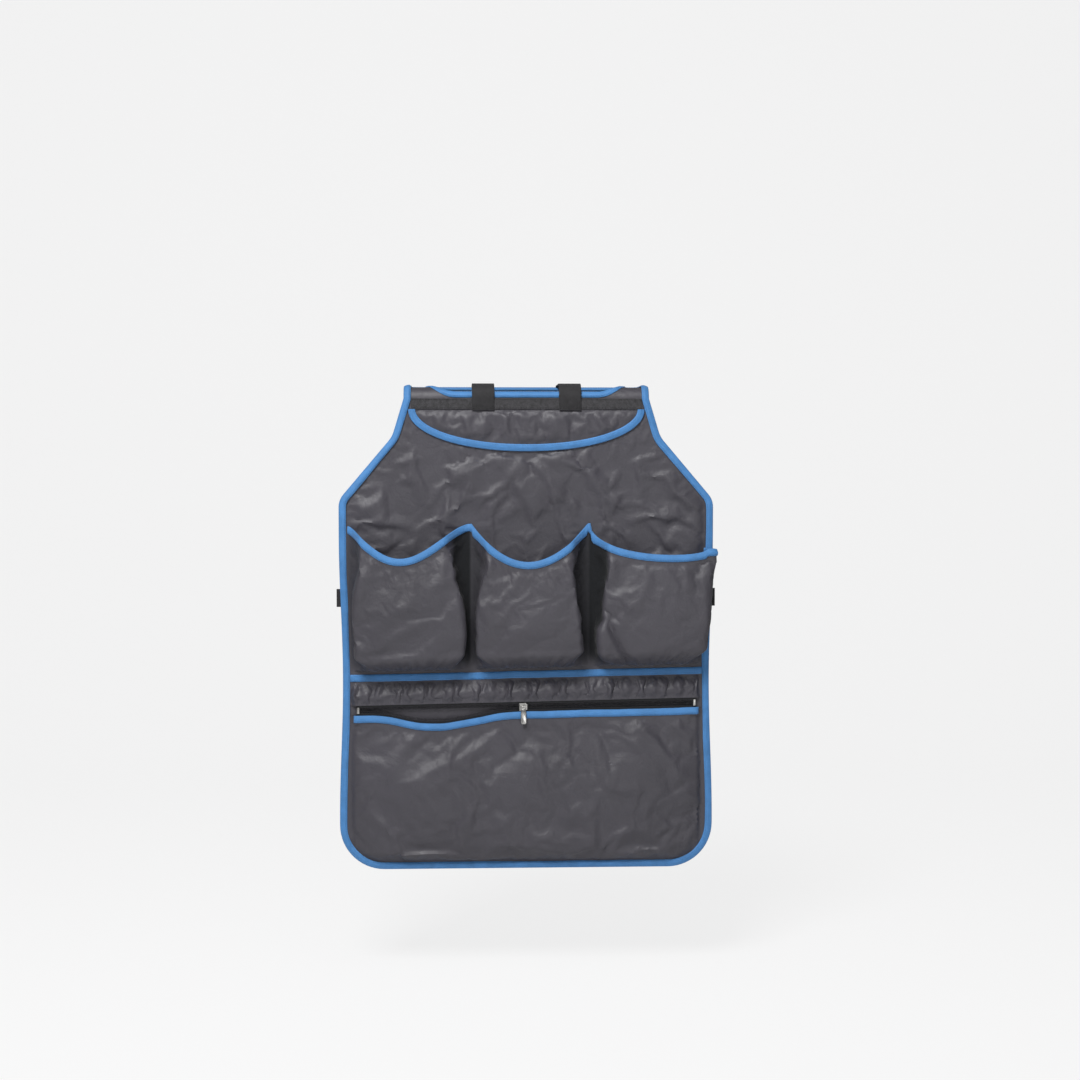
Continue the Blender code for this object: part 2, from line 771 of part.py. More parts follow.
def make_zip_strip():
    """Gathered cloth between the divider tape and the zip's upper tape."""
    columns = 60
    free_from = DIVIDER_TAPE_WIDTH / 2 + GAP
    foot_rise = COIL_GAP + COIL_WIDTH + ZIP_LINE_SHOW
    flat_rise = ZIP_TAPE_REACH + GAP
    end = half_width(seam_z(0, DIVIDER_DROP)) - NOSE - 2 * GAP
    rows = []
    for share in (-1, 0, 0.3, 0.65, 1.0):
        row = []
        for k in range(columns + 1):
            x = end * (2 * k / columns - 1)
            top = seam_z(x, DIVIDER_DROP) - GAP
            free = top - free_from
            foot = seam_z(x, ZIP_DROP) + foot_rise
            z = free + (foot - free) * share if share >= 0 else top
            flat = seam_z(x, ZIP_DROP) + flat_rise
            w = HEM + (STRIP_MID - HEM) * smooth((free - z) / (free - flat))
            gather = 1 + math.sin(2 * math.pi * x / GATHER_PITCH + math.sin(x * 37))
            w += GATHER_DEPTH / 2 * gather * math.sin(math.pi * max(0, share)) ** 2
            row.append(hang(x, z, stand_off(x, HEM, w, z)))
        rows.append(row)
    thick_grid("zip_strip", rows, grid_normals(rows), NYLON)


# Zip


def sag(x):
    """How far the zip's open lower side hangs from the closed line, from 0 to 1."""
    return smooth((x - OPEN_FROM) / SAG_LEFT_RUN) * smooth((OPEN_TO - x) / SAG_RIGHT_RUN)


def zip_columns(end):
    """Places along the zip: close together where the open side hangs, one span where it is shut."""
    steps = 20
    opened = [OPEN_FROM + (OPEN_TO - OPEN_FROM) * i / steps for i in range(steps + 1)]
    return [-end, *opened, end]


def lower_side(x, rise, w):
    """A point on the zip's lower side, which sags and bows out where the zip is open."""
    fall = sag(x)
    return hang(x, seam_z(x, ZIP_DROP) + rise - MOUTH_SAG * fall, w + MOUTH_BOW * fall)


def upper_side(x, rise, w):
    return hang(x, seam_z(x, ZIP_DROP) + rise, w)


def make_zip_runs():
    near, far = COIL_GAP, COIL_GAP + COIL_WIDTH
    half = COIL_THICKNESS / 2
    lean = COIL_WIDTH / 4
    coil = [
        (near, ZIP_STANDOFF - half / 2),
        (near + lean, ZIP_STANDOFF - half),
        (far - lean, ZIP_STANDOFF - half),
        (far, ZIP_STANDOFF - half / 2),
        (far, ZIP_STANDOFF + half / 2),
        (far - lean, ZIP_STANDOFF + half),
        (near + lean, ZIP_STANDOFF + half),
        (near, ZIP_STANDOFF + half / 2),
    ]
    back, front = ZIP_STANDOFF - ZIP_TAPE / 2, ZIP_TAPE_FRONT
    tape_near, tape_far = far + GAP, ZIP_TAPE_REACH
    tape = [(tape_near, back), (tape_far, back), (tape_far, front), (tape_near, front)]
    for part, profile, end, look in (
        ("coil", coil, COIL_HALF_LENGTH, ZIPPER),
        ("tape", tape, ZIP_HALF_LENGTH, ZIPPER),
    ):
        upper = [[upper_side(x, rise, w) for rise, w in profile] for x in (-end, end)]
        loft(f"zip_{part}_upper", upper, look)
        lower = [[lower_side(x, -rise, w) for rise, w in profile] for x in zip_columns(end)]
        loft(f"zip_{part}_lower", lower, look)


def zip_frame(x):
    """Origin and directions of the zip's line at x: along it, up across it, and outwards."""
    origin = hang(x, seam_z(x, ZIP_DROP), 0.0)
    return (
        origin,
        Vector((math.cos(SEAM_RISE), 0, math.sin(SEAM_RISE))),
        Vector((-math.sin(SEAM_RISE), 0, math.cos(SEAM_RISE))),
        Vector((0, -1, 0)),
    )


def block(shape, low, high):
    """Adds a box to a bmesh, between two corners."""
    made = bmesh.ops.create_cube(shape, size=1.0)
    for vertex in made["verts"]:
        vertex.co = Vector(
            (low[i] + (high[i] - low[i]) * (vertex.co[i] + 0.5) for i in range(3))
        )


def solid_from_blocks(name, blocks, look, place):
    """One body from boxes that overlap, joined by Boolean unions, then put in place."""
    pieces = []
    for i, (low, high) in enumerate(blocks):
        shape = bmesh.new()
        block(shape, low, high)
        mesh = bpy.data.meshes.new(f"{name}_block_{i}")
        shape.to_mesh(mesh)
        shape.free()
        piece = bpy.data.objects.new(f"{name}_block_{i}", mesh)
        bpy.context.scene.collection.objects.link(piece)
        pieces.append(piece)
    base = pieces[0]
    for other in pieces[1:]:
        join = base.modifiers.new("join", "BOOLEAN")
        join.operation = "UNION"
        join.solver = "EXACT"
        join.object = other
    graph = bpy.context.evaluated_depsgraph_get()
    mesh = bpy.data.meshes.new_from_object(base.evaluated_get(graph))
    points = [place(v.co) for v in mesh.vertices]
    faces = [tuple(p.vertices) for p in mesh.polygons]
    for piece in pieces:
        bpy.data.objects.remove(piece, do_unlink=True)
    return add_object(name, points, faces, look)


def placed(frame):
    """Turns (along, up, out) into a point of the model."""
    origin, run, rise, out = frame
    return lambda p: origin + run * p[0] + rise * p[1] + out * p[2]


def make_zip_stop(name, x):
    half, tall = STOP_LENGTH / 2, STOP_HEIGHT / 2
    post = COIL_GAP - GAP
    slot = ZIP_TAPE / 2 + TAPE_SLOT
    front, back = ZIP_STANDOFF + slot, ZIP_STANDOFF - slot
    blocks = [
        ((-half, -tall, front), (half, tall, front + STOP_PLATE)),
        ((-half, -tall, back - STOP_PLATE), (half, tall, back)),
        ((-half, -post, back - STOP_PLATE / 2), (half, post, front + STOP_PLATE / 2)),
    ]
    solid_from_blocks(name, blocks, METAL, placed(zip_frame(x)))


def make_zip_slider():
    """Two plates joined by the post between the coils, flanged over them, with a bridge."""
    half, tall = SLIDER_LENGTH / 2, SLIDER_HEIGHT / 2
    inner_back = ZIP_STANDOFF - COIL_THICKNESS / 2 - GAP
    inner_front = COIL_FRONT + GAP
    slot = ZIP_TAPE / 2 + TAPE_SLOT
    post = COIL_GAP - GAP
    flange = COIL_GAP + COIL_WIDTH + GAP
    overlap = SLIDER_PLATE / 2
    blocks = [
        ((-half, -tall, inner_front), (half, tall, SLIDER_FACE)),
        ((-half, -tall, inner_back - SLIDER_PLATE), (half, tall, inner_back)),
        ((-half, -post, inner_back - overlap), (-half / 2, post, inner_front + overlap)),
    ]
    for side in (-1, 1):
        low, high = sorted((side * flange, side * tall))
        blocks.append(((-half, low, ZIP_STANDOFF + slot), (half, high, inner_front + overlap)))
        blocks.append(((-half, low, inner_back - overlap), (half, high, ZIP_STANDOFF - slot)))
        near = EYE_LENGTH / 2 + GAP
        low, high = sorted((side * near, side * (near + LUG_THICKNESS)))
        foot, top = SLIDER_FACE - overlap, BRIDGE_AT + LUG_HALF
        blocks.append(((low, -LUG_HALF, foot), (high, LUG_HALF, top)))
    reach = EYE_LENGTH / 2 + GAP + LUG_THICKNESS / 2
    bar = BRIDGE_HALF
    blocks.append(((-reach, -bar, BRIDGE_AT - bar), (reach, bar, BRIDGE_AT + bar)))
    solid_from_blocks("zip_slider", blocks, METAL, placed(zip_frame(SLIDER_X)))


def make_zip_pull():
    """A plate with a rolled eye round the slider's bridge. It hangs tilted out a little."""
    origin, run, rise, out = zip_frame(SLIDER_X)
    pivot = origin + out * BRIDGE_AT
    down = -rise * math.cos(PULL_TILT) + out * math.sin(PULL_TILT)
    face = out * math.cos(PULL_TILT) + rise * math.sin(PULL_TILT)
    sides = 12
    half = PULL_THICKNESS / 2
    # Section across the plate: the eye's outside, then down the plate and back up.
    open_angle = math.asin(half / EYE_RADIUS)
    section = []
    for i in range(sides + 1):
        angle = open_angle + (2 * math.pi - 2 * open_angle) * i / sides
        section.append((EYE_RADIUS * math.cos(angle), EYE_RADIUS * math.sin(angle)))
    heel, edge = PULL_LENGTH - PULL_TIP, half - PULL_TIP_BEVEL
    section += [(heel, -half), (PULL_LENGTH, -edge), (PULL_LENGTH, edge), (heel, half)]
    bore = [
        (EYE_BORE * math.cos(2 * math.pi * i / sides), EYE_BORE * math.sin(2 * math.pi * i / sides))
        for i in range(sides)
    ]
    shape = bmesh.new()
    ends = []
    for side in (-1, 1):
        loops = []
        for loop in (section, bore):
            verts = []
            for length, depth in loop:
                wide = EYE_LENGTH / 2 if length <= EYE_RADIUS else PULL_WIDTH / 2
                wide -= PULL_TIP_BEVEL if length == PULL_LENGTH else 0
                place = pivot + run * side * wide + down * length + face * depth
                verts.append(shape.verts.new(place))
            loops.append(verts)
        ends.append(loops)
        edges = []
        for verts in loops:
            for i, vert in enumerate(verts):
                edges.append(shape.edges.new((vert, verts[(i + 1) % len(verts)])))
        bmesh.ops.triangle_fill(shape, use_beauty=True, edges=edges)
    for k in (0, 1):
        left, right = ends[0][k], ends[1][k]
        for i in range(len(left)):
            j = (i + 1) % len(left)
            shape.faces.new((left[i], left[j], right[j], right[i]))
    bmesh.ops.recalc_face_normals(shape, faces=shape.faces)
    mesh = bpy.data.meshes.new("zip_pull")
    shape.to_mesh(mesh)
    shape.free()
    points = [v.co.copy() for v in mesh.vertices]
    faces = [tuple(p.vertices) for p in mesh.polygons]
    add_object("zip_pull", points, faces, METAL)


# Large pocket


def panel_edge(x):
    """(z, w of the middle) of the large pocket's top edge at x."""
    z = seam_z(x, ZIP_DROP) - PANEL_EDGE_DROP - NOSE - GAP - MOUTH_SAG * sag(x)
    return z, stand_off(x, HEM, EDGE_MID + MOUTH_BOW * sag(x), z)


def panel_surface(x, z):
    """w of the large pocket's middle: hemmed all round, and full between."""
    top, edge_w = panel_edge(x)
    under = top - BINDING_WIDTH - z
    side = half_width(z) - PANEL_HEM - abs(x)
    foot = z + BODY_DROP - PANEL_HEM
    corner_x = BODY_HALF - CORNER_RADIUS
    corner_z = -BODY_DROP + CORNER_RADIUS
    if abs(x) > corner_x and z < corner_z:
        away = math.hypot(abs(x) - corner_x, z - corner_z)
        side = foot = CORNER_RADIUS - PANEL_HEM - away
    near = max(0.0, min(side, foot))
    ease = 1 - math.exp(-near / PANEL_RISE)
    full = PANEL_BULGE * smooth(under / PANEL_TOP_RUN) * math.sqrt(smooth(side / PANEL_SIDE_RUN))
    return HEM + (edge_w - HEM + full) * (ease if under > 0 else 1.0)


def binding_columns():
    """Places along the large pocket's binding, which ends half way down to the side hems."""
    hem_x = half_width(-ZIP_DROP - PANEL_EDGE_DROP) - PANEL_HEM
    reach = (ZIP_HALF_LENGTH + hem_x) / 2
    return [-reach, *zip_columns(ZIP_HALF_LENGTH), reach]


def make_lower_panel(outline):
    edge = moved_in(outline, NOSE + 2 * GAP)
    sides = [p for p in edge if p.y < along(ZIP_DROP) - PANEL_FACET]
    start = max(range(len(sides)), key=lambda i: (sides[i].y if sides[i].x < 0 else -1))
    sides = sides[start:] + sides[:start]
    end = half_width(-ZIP_DROP - PANEL_EDGE_DROP) - NOSE - 2 * GAP
    hem_x = half_width(-ZIP_DROP - PANEL_EDGE_DROP) - PANEL_HEM
    places = [-end, -hem_x, *binding_columns(), hem_x, end]
    top = [Vector((x, panel_edge(x)[0] + FOLD_RADIUS)) for x in reversed(places)]
    region = sides + top
    hem = [p for p in moved_in(outline, PANEL_HEM) if p.y < along(ZIP_DROP) - PANEL_FACET]
    turn = max(range(len(hem)), key=lambda i: (hem[i].y if hem[i].x < 0 else -1))
    hem = hem[turn:] + hem[:turn]
    under = [p - Vector((0, BINDING_WIDTH)) for p in top[1:-1]]
    columns = round(2 * hem_x / PANEL_FACET) - 1
    inner = []
    for i in range(columns):
        x = hem_x * (2 * (i + 1) / (columns + 1) - 1)
        crown, low = panel_edge(x)[0] + FOLD_RADIUS, along(BODY_DROP)
        for rows in (1, 1.7, 2.6):
            inner.append(Vector((x, crown - rows * PANEL_FACET)))
        for rows in range(1, 7):
            inner.append(Vector((x, low + rows * PANEL_FACET)))
    room = moved_in(region, PANEL_HEM + PANEL_FACET / 3)
    inner = [p for p in inner if inside(p, room)]

    def place(u, v, extra):
        z = v - FOLD_RADIUS
        return hang(u, z, panel_surface(u, z) - FABRIC / 2 + extra)

    hem = [top[-2], *hem, top[1]]
    creases = [*zip(hem, hem[1:]), *zip(under, under[1:])]
    sheet("lower_panel", region, NYLON, place, inner=inner, creases=creases)


def make_lower_panel_binding():
    profile = fold_profile(BINDING_WIDTH, -FABRIC / 2, FABRIC / 2)
    sections = []
    for x in binding_columns():
        z, middle = panel_edge(x)
        lift = z + NOSE + GAP
        sections.append([hang(x, lift - a, middle + w) for a, w in profile])
    loft("lower_panel_binding", sections, BLUE)


# Webbing loops behind the side seams


def make_side_loop(name, side):
    """Webbing folded double, sewn behind the side binding with its fold showing."""
    outer = half_width(-LOOP_DROP) + LOOP_SHOW
    front = -GAP - TAPE - GAP
    back = front - 2 * LOOP_WEBBING - LOOP_SLIT
    middle, radius = (front + back) / 2, (front - back) / 2
    hollow = LOOP_SLIT / 2
    run = [(LOOP_LENGTH, front)]
    for k in range(7):
        angle = math.pi / 2 + math.pi * k / 6
        run.append((radius + radius * math.cos(angle), middle + radius * math.sin(angle)))
    run += [(LOOP_LENGTH, back), (LOOP_LENGTH, middle - hollow)]
    for k in range(5):
        angle = -math.pi / 2 - math.pi * k / 4
        run.append((radius + hollow * math.cos(angle), middle + hollow * math.sin(angle)))
    run.append((LOOP_LENGTH, middle + hollow))
    sections = []
    for z in (-LOOP_DROP - LOOP_HEIGHT / 2, -LOOP_DROP + LOOP_HEIGHT / 2):
        sections.append([hang(side * (outer - a), z, w) for a, w in run])
    loft(name, sections, WEBBING)


def main():
    clear_scene()
    outline, slot = bib_outline(), slot_outline()
    make_back_panel(outline, slot)
    bound_edge("edge_binding", outline, fold_profile(BINDING_WIDTH, 0.0, HEM_FRONT))
    make_slot_binding(slot)
    make_yoke()
    make_loop_strip()
    make_tab("hook_tab_left", -TAB_SPACING / 2)
    make_tab("hook_tab_right", TAB_SPACING / 2)
    make_pocket_strip()
    make_divider_binding()
    make_zip_strip()
    make_zip_runs()
    make_zip_stop("zip_stop_left", -COIL_HALF_LENGTH - GAP - STOP_LENGTH / 2)
    make_zip_stop("zip_stop_right", COIL_HALF_LENGTH + GAP + STOP_LENGTH / 2)
    make_zip_slider()
    make_zip_pull()
    make_lower_panel(outline)
    make_lower_panel_binding()
    make_side_loop("side_loop_left", -1)
    make_side_loop("side_loop_right", 1)


main()
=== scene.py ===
# Seat back organizer: the look of the cloth, tape, zip and webbing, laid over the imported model.
# Metres, +Z up, pockets facing -Y. Change the values in each piece's dictionary and run again.

import math

import bmesh
import bpy
import numpy as np
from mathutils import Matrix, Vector, noise
from mathutils.geometry import delaunay_2d_cdt


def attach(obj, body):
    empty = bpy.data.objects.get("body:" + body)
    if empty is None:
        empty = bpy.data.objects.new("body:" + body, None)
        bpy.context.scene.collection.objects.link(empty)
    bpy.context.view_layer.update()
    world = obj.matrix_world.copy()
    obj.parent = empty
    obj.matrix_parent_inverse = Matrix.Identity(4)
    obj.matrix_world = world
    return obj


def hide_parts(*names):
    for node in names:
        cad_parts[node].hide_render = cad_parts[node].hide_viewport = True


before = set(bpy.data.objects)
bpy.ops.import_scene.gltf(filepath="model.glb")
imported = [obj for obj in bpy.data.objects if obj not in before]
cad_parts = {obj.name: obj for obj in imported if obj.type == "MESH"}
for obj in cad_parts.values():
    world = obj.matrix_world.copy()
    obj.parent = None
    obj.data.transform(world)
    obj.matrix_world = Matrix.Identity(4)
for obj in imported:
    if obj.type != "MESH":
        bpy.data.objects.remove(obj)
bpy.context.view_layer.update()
scene = bpy.context.scene


# Camera and studio

camera = {
    "target": (0.015, -0.030, -0.170),
    "distance": 2.0,
    "azimuth": -2.5,          # degrees, 0 looks along +Y
    "elevation": 2.5,
    "frameWidth": 1.2096,     # what the frame takes in at the target
}
studio = {
    "floorZ": -0.66,
    "floorColour": (0.86, 0.86, 0.865),
    "keyPower": 38.0,
    "keyPlace": (-0.55, -1.40, 1.30),
    "keySize": 0.75,
    "fillPower": 5.0,
    "fillPlace": (0.8, -2.1, -0.35),
    "fillSize": 0.8,
    "topPower": 2.1,
    "topPlace": (0.1, -0.75, 1.4),
    "topSize": 0.6,
    "worldColour": (0.95, 0.97, 1.0),
    "worldStrength": 0.10,
    "beyondStrength": 0.90,   # past the ends of the paper, for the camera alone
    "paperGlow": 0.82,        # how much of the paper's white the camera sees whatever the light
    "paperHalfWidth": 5.0, "paperFront": -3.5, "paperTop": 3.6,
    "bendFrom": 1.2, "bendRadius": 0.8,
    "lampTarget": (0.0, -0.03, -0.25),
}


def placed(name, data):
    made = bpy.data.objects.new(name, data)
    scene.collection.objects.link(made)
    return made


def aim(thing, place, target):
    thing.location = place
    thing.rotation_euler = (Vector(target) - Vector(place)).to_track_quat("-Z", "Y").to_euler()


def makeCamera():
    data = bpy.data.cameras.new("photoView")
    data.sensor_width = 36.0
    data.lens = 36.0 * camera["distance"] / camera["frameWidth"]
    data.clip_start, data.clip_end = 0.05, 40.0
    made = placed("photoView", data)
    a, e = math.radians(camera["azimuth"]), math.radians(camera["elevation"])
    back = Vector((math.sin(a) * math.cos(e), -math.cos(a) * math.cos(e), math.sin(e)))
    aim(made, Vector(camera["target"]) + back * camera["distance"], camera["target"])
    scene.camera = made


def makeLamp(name, power, place, size):
    data = bpy.data.lights.new(name, "AREA")
    data.energy = power
    data.size = size
    made = placed(name, data)
    aim(made, place, studio["lampTarget"])


# a node with its settings, and its inputs as values or links from other sockets
def addNode(tree, kind, inputs=None, **settings):
    made = tree.nodes.new(kind)
    for key, value in settings.items():
        setattr(made, key, value)
    for key, value in (inputs or {}).items():
        if isinstance(value, bpy.types.NodeSocket):
            tree.links.new(value, made.inputs[key])
        else:
            made.inputs[key].default_value = value
    return made


def startFinish(name, colour, roughness, metallic=0.0):
    made = bpy.data.materials.new(name)
    made.use_nodes = True
    tree = made.node_tree
    shader = tree.nodes["Principled BSDF"]
    shader.inputs["Base Color"].default_value = (*colour, 1.0)
    shader.inputs["Roughness"].default_value = roughness
    shader.inputs["Metallic"].default_value = metallic
    return made, tree, shader


def makeWorld():
    world = bpy.data.worlds.new("softDaylight")
    world.use_nodes = True
    sky = world.node_tree.nodes["Background"]
    sky.inputs["Color"].default_value = (*studio["worldColour"], 1.0)
    looking = addNode(world.node_tree, "ShaderNodeLightPath").outputs["Is Camera Ray"]
    more = studio["beyondStrength"] - studio["worldStrength"]
    strength = addNode(world.node_tree, "ShaderNodeMath", {0: looking, 1: more, 2: studio["worldStrength"]},
                       operation="MULTIPLY_ADD")
    world.node_tree.links.new(strength.outputs[0], sky.inputs["Strength"])
    scene.world = world


def palePaper():
    paper, tree, shader = startFinish("palePaper", studio["floorColour"], 0.9)
    shader.inputs["Specular IOR Level"].default_value = 0.1
    glow = addNode(tree, "ShaderNodeEmission", {"Color": (1, 1, 1, 1), "Strength": 1.0})
    looking = addNode(tree, "ShaderNodeLightPath").outputs["Is Camera Ray"]
    share = addNode(tree, "ShaderNodeMath", {0: looking, 1: studio["paperGlow"]}, operation="MULTIPLY")
    blend = addNode(tree, "ShaderNodeMixShader",
                    {0: share.outputs[0], 1: shader.outputs[0], 2: glow.outputs[0]})
    tree.links.new(blend.outputs[0], tree.nodes["Material Output"].inputs["Surface"])
    return paper


# one sweep of pale paper: the floor, a bend and the wall behind
def makePaper():
    bend, radius, half = studio["bendFrom"], studio["bendRadius"], studio["paperHalfWidth"]
    profile = [(studio["paperFront"], 0.0), (bend, 0.0)]
    for turn in np.linspace(0.1, 1.57, 14):
        profile.append((bend + radius * math.sin(turn), radius - radius * math.cos(turn)))
    profile.append((bend + radius, studio["paperTop"]))
    points, faces = [], []
    for y, z in profile:
        points += [(-half, y, z + studio["floorZ"]), (half, y, z + studio["floorZ"])]
    for i in range(len(profile) - 1):
        faces.append((2 * i, 2 * i + 1, 2 * i + 3, 2 * i + 2))
    mesh = bpy.data.meshes.new("paperSweep")
    mesh.from_pydata(points, [], faces)
    mesh.shade_smooth()
    sweep = placed("paperSweep", mesh)
    mesh.materials.append(palePaper())


makeCamera()
makeWorld()
makePaper()
for lamp in ("key", "fill", "top"):
    makeLamp(lamp, studio[lamp + "Power"], studio[lamp + "Place"], studio[lamp + "Size"])
scene.view_settings.view_transform = "Standard"
print("studio and camera ready")


# Finishes

finishes = {
    "nylonColour": (0.065, 0.061, 0.074),
    "nylonRoughness": 0.50,
    # painted shade: the near black painted into the pleats between the pockets
    "pleatShadeColour": (0.006, 0.007, 0.009),
    "blueColour": (0.078, 0.255, 0.570),
    "webbingColour": (0.016, 0.015, 0.017),
    "zipColour": (0.013, 0.013, 0.015),
    "metalColour": (0.600, 0.590, 0.570),
    "pileColour": (0.026, 0.025, 0.028),
    "threadColour": (0.020, 0.019, 0.021),
    "threadPitch": 0.00055,
    "ribPitch": 0.00085,
    "ribDepth": 0.00012,
    "fineRibDepth": 0.00008,
    "webbingPitch": (0.0011, 0.0016),   # along and across
}


def cloudy(tree, place, scale, detail, rough=0.5, twist=0.0):
    inputs = {"Vector": place, "Scale": scale, "Detail": detail, "Roughness": rough, "Distortion": twist}
    return addNode(tree, "ShaderNodeTexNoise", inputs).outputs["Fac"]


# lets a mask vary the colour a little round its own value
def tint(tree, shader, colour, mask, low, high):
    ramp = addNode(tree, "ShaderNodeValToRGB", {0: mask})
    for stop, gain, place in zip(ramp.color_ramp.elements, (low, high), (0.3, 0.7)):
        stop.position = place
        stop.color = (*[c * gain for c in colour], 1.0)
    tree.links.new(ramp.outputs["Color"], shader.inputs["Base Color"])


# a wave with this pitch in metres along one axis
def bands(tree, coords, axis, pitch, **settings):
    return addNode(tree, "ShaderNodeTexWave", {"Vector": coords, "Scale": math.pi / 10 / pitch, **settings},
                   wave_type="BANDS", bands_direction=axis, wave_profile="SIN").outputs["Fac"]


def roughen(tree, shader, mask, low, high):
    inputs = {"Value": mask, "From Min": 0.3, "From Max": 0.7, "To Min": low, "To Max": high}
    spread = addNode(tree, "ShaderNodeMapRange", inputs)
    tree.links.new(spread.outputs["Result"], shader.inputs["Roughness"])


# stacks (height, strength, distance) layers into the shader's normal
def bump(tree, shader, layers):
    normal = None
    for height, strength, distance in layers:
        inputs = {"Height": height, "Strength": strength, "Distance": distance}
        if normal:
            inputs["Normal"] = normal
        normal = addNode(tree, "ShaderNodeBump", inputs).outputs["Normal"]
    tree.links.new(normal, shader.inputs["Normal"])


def coatedNylon():
    colour, gloss = finishes["nylonColour"], finishes["nylonRoughness"]
    made, tree, shader = startFinish("coatedNylon", colour, gloss)
    place = addNode(tree, "ShaderNodeTexCoord")
    cloth, solid = place.outputs["UV"], place.outputs["Object"]
    wear = cloudy(tree, solid, 9.0, 4.0, 0.6)
    crinkle = cloudy(tree, solid, 55.0, 5.0, 0.55, 0.7)
    fine = cloudy(tree, solid, 210.0, 3.0)
    warp = bands(tree, cloth, "X", finishes["threadPitch"])
    weft = bands(tree, cloth, "Y", finishes["threadPitch"])
    weave = addNode(tree, "ShaderNodeMath", {0: warp, 1: weft}, operation="MULTIPLY").outputs[0]
    tint(tree, shader, colour, wear, 0.90, 1.08)
    roughen(tree, shader, crinkle, gloss - 0.05, gloss + 0.08)
    # painted shade: the pleats between the pockets are painted near black, standing in for the shade that
    # falls into them, and made rougher there
    pleatShade = addNode(tree, "ShaderNodeAttribute", attribute_name="pleatShade").outputs["Fac"]
    grey = shader.inputs["Base Color"].links[0].from_socket
    black = (*finishes["pleatShadeColour"], 1.0)
    shade = addNode(tree, "ShaderNodeMix", {"Factor": pleatShade, 6: grey, 7: black}, data_type="RGBA")
    tree.links.new(shade.outputs[2], shader.inputs["Base Color"])
    even = shader.inputs["Roughness"].links[0].from_socket
    matt = addNode(tree, "ShaderNodeMix", {"Factor": pleatShade, 2: even, 3: 0.95})
    tree.links.new(matt.outputs[0], shader.inputs["Roughness"])
    shader.inputs["Specular IOR Level"].default_value = 0.60
    shader.inputs["Sheen Weight"].default_value = 0.03
    bump(tree, shader, [
        (crinkle, 0.55, 0.0022),
        (fine, 0.30, 0.0006),
        (weave, 0.25, 0.0001),
    ])
    return made


def ribbedTape(name, colour, roughness, ribDepth=finishes["ribDepth"]):
    made, tree, shader = startFinish(name, colour, roughness)
    place = addNode(tree, "ShaderNodeTexCoord")
    cloth, solid = place.outputs["UV"], place.outputs["Object"]
    ribs = bands(tree, cloth, "X", finishes["ribPitch"])
    weft = bands(tree, cloth, "Y", finishes["ribPitch"] * 0.6)
    mottle = cloudy(tree, solid, 60.0, 4.0, 0.6)
    pucker = cloudy(tree, solid, 130.0, 2.0)
    tint(tree, shader, colour, mottle, 0.88, 1.12)
    roughen(tree, shader, mottle, roughness - 0.06, roughness + 0.06)
    shader.inputs["Sheen Weight"].default_value = 0.12
    shader.inputs["Specular IOR Level"].default_value = 0.35
    bump(tree, shader, [
        (pucker, 0.45, 0.0012),
        (ribs, 0.60, ribDepth),
        (weft, 0.25, ribDepth / 2),
    ])
    return made


def coarseWebbing():
    colour = finishes["webbingColour"]
    made, tree, shader = startFinish("coarseWebbing", colour, 0.72)
    place = addNode(tree, "ShaderNodeTexCoord")
    cloth, solid = place.outputs["UV"], place.outputs["Object"]
    warp = bands(tree, cloth, "X", finishes["webbingPitch"][0])
    weft = bands(tree, cloth, "Y", finishes["webbingPitch"][1])
    weave = addNode(tree, "ShaderNodeMath", {0: warp, 1: weft}, operation="MULTIPLY").outputs[0]
    lint = cloudy(tree, solid, 160.0, 4.0)
    tint(tree, shader, colour, lint, 0.75, 1.35)
    shader.inputs["Sheen Weight"].default_value = 0.15
    bump(tree, shader, [(weave, 0.7, 0.0003), (lint, 0.3, 0.0003)])
    return made


def loopPile():
    colour = finishes["pileColour"]
    made, tree, shader = startFinish("loopPile", colour, 0.9)
    solid = addNode(tree, "ShaderNodeTexCoord").outputs["Object"]
    loops = addNode(tree, "ShaderNodeTexVoronoi", {"Vector": solid, "Scale": 900.0})
    patches = cloudy(tree, solid, 210.0, 4.0, 0.75)
    tint(tree, shader, colour, patches, 0.35, 2.2)
    shader.inputs["Sheen Weight"].default_value = 0.35
    shader.inputs["Sheen Roughness"].default_value = 0.6
    bump(tree, shader, [(patches, 0.6, 0.0012), (loops.outputs["Distance"], 0.8, 0.0005)])
    return made


def nickelPlate():
    colour = finishes["metalColour"]
    made, tree, shader = startFinish("nickelPlate", colour, 0.30, 1.0)
    solid = addNode(tree, "ShaderNodeTexCoord").outputs["Object"]
    longways = {"Vector": solid, "Scale": (900.0, 900.0, 90.0)}
    stretched = addNode(tree, "ShaderNodeMapping", longways).outputs[0]
    scuffs = cloudy(tree, stretched, 1.0, 4.0)
    dull = cloudy(tree, solid, 240.0, 3.0)
    tint(tree, shader, colour, dull, 0.82, 1.06)
    roughen(tree, shader, scuffs, 0.22, 0.42)
    bump(tree, shader, [(scuffs, 0.15, 0.0001)])
    return made


def mouldedCoil():
    colour = finishes["zipColour"]
    made, tree, shader = startFinish("mouldedCoil", colour, 0.36)
    solid = addNode(tree, "ShaderNodeTexCoord").outputs["Object"]
    dust = cloudy(tree, solid, 300.0, 3.0)
    tint(tree, shader, colour, dust, 0.8, 1.6)
    roughen(tree, shader, dust, 0.30, 0.50)
    return made


nylon = coatedNylon()
blueTape = ribbedTape("blueTape", finishes["blueColour"], 0.55)
blueThread = ribbedTape("blueThread", tuple(c * 0.85 for c in finishes["blueColour"]), 0.6)
blackTape = ribbedTape("blackTape", finishes["zipColour"], 0.6, finishes["fineRibDepth"])
blackThread = ribbedTape("blackThread", finishes["threadColour"], 0.6)
webbing = coarseWebbing()
pile = loopPile()
nickel = nickelPlate()
coilPlastic = mouldedCoil()
print("finishes ready")


# Where the cloth lies: u across, v up along it from the foot of the fold, w out from its rear

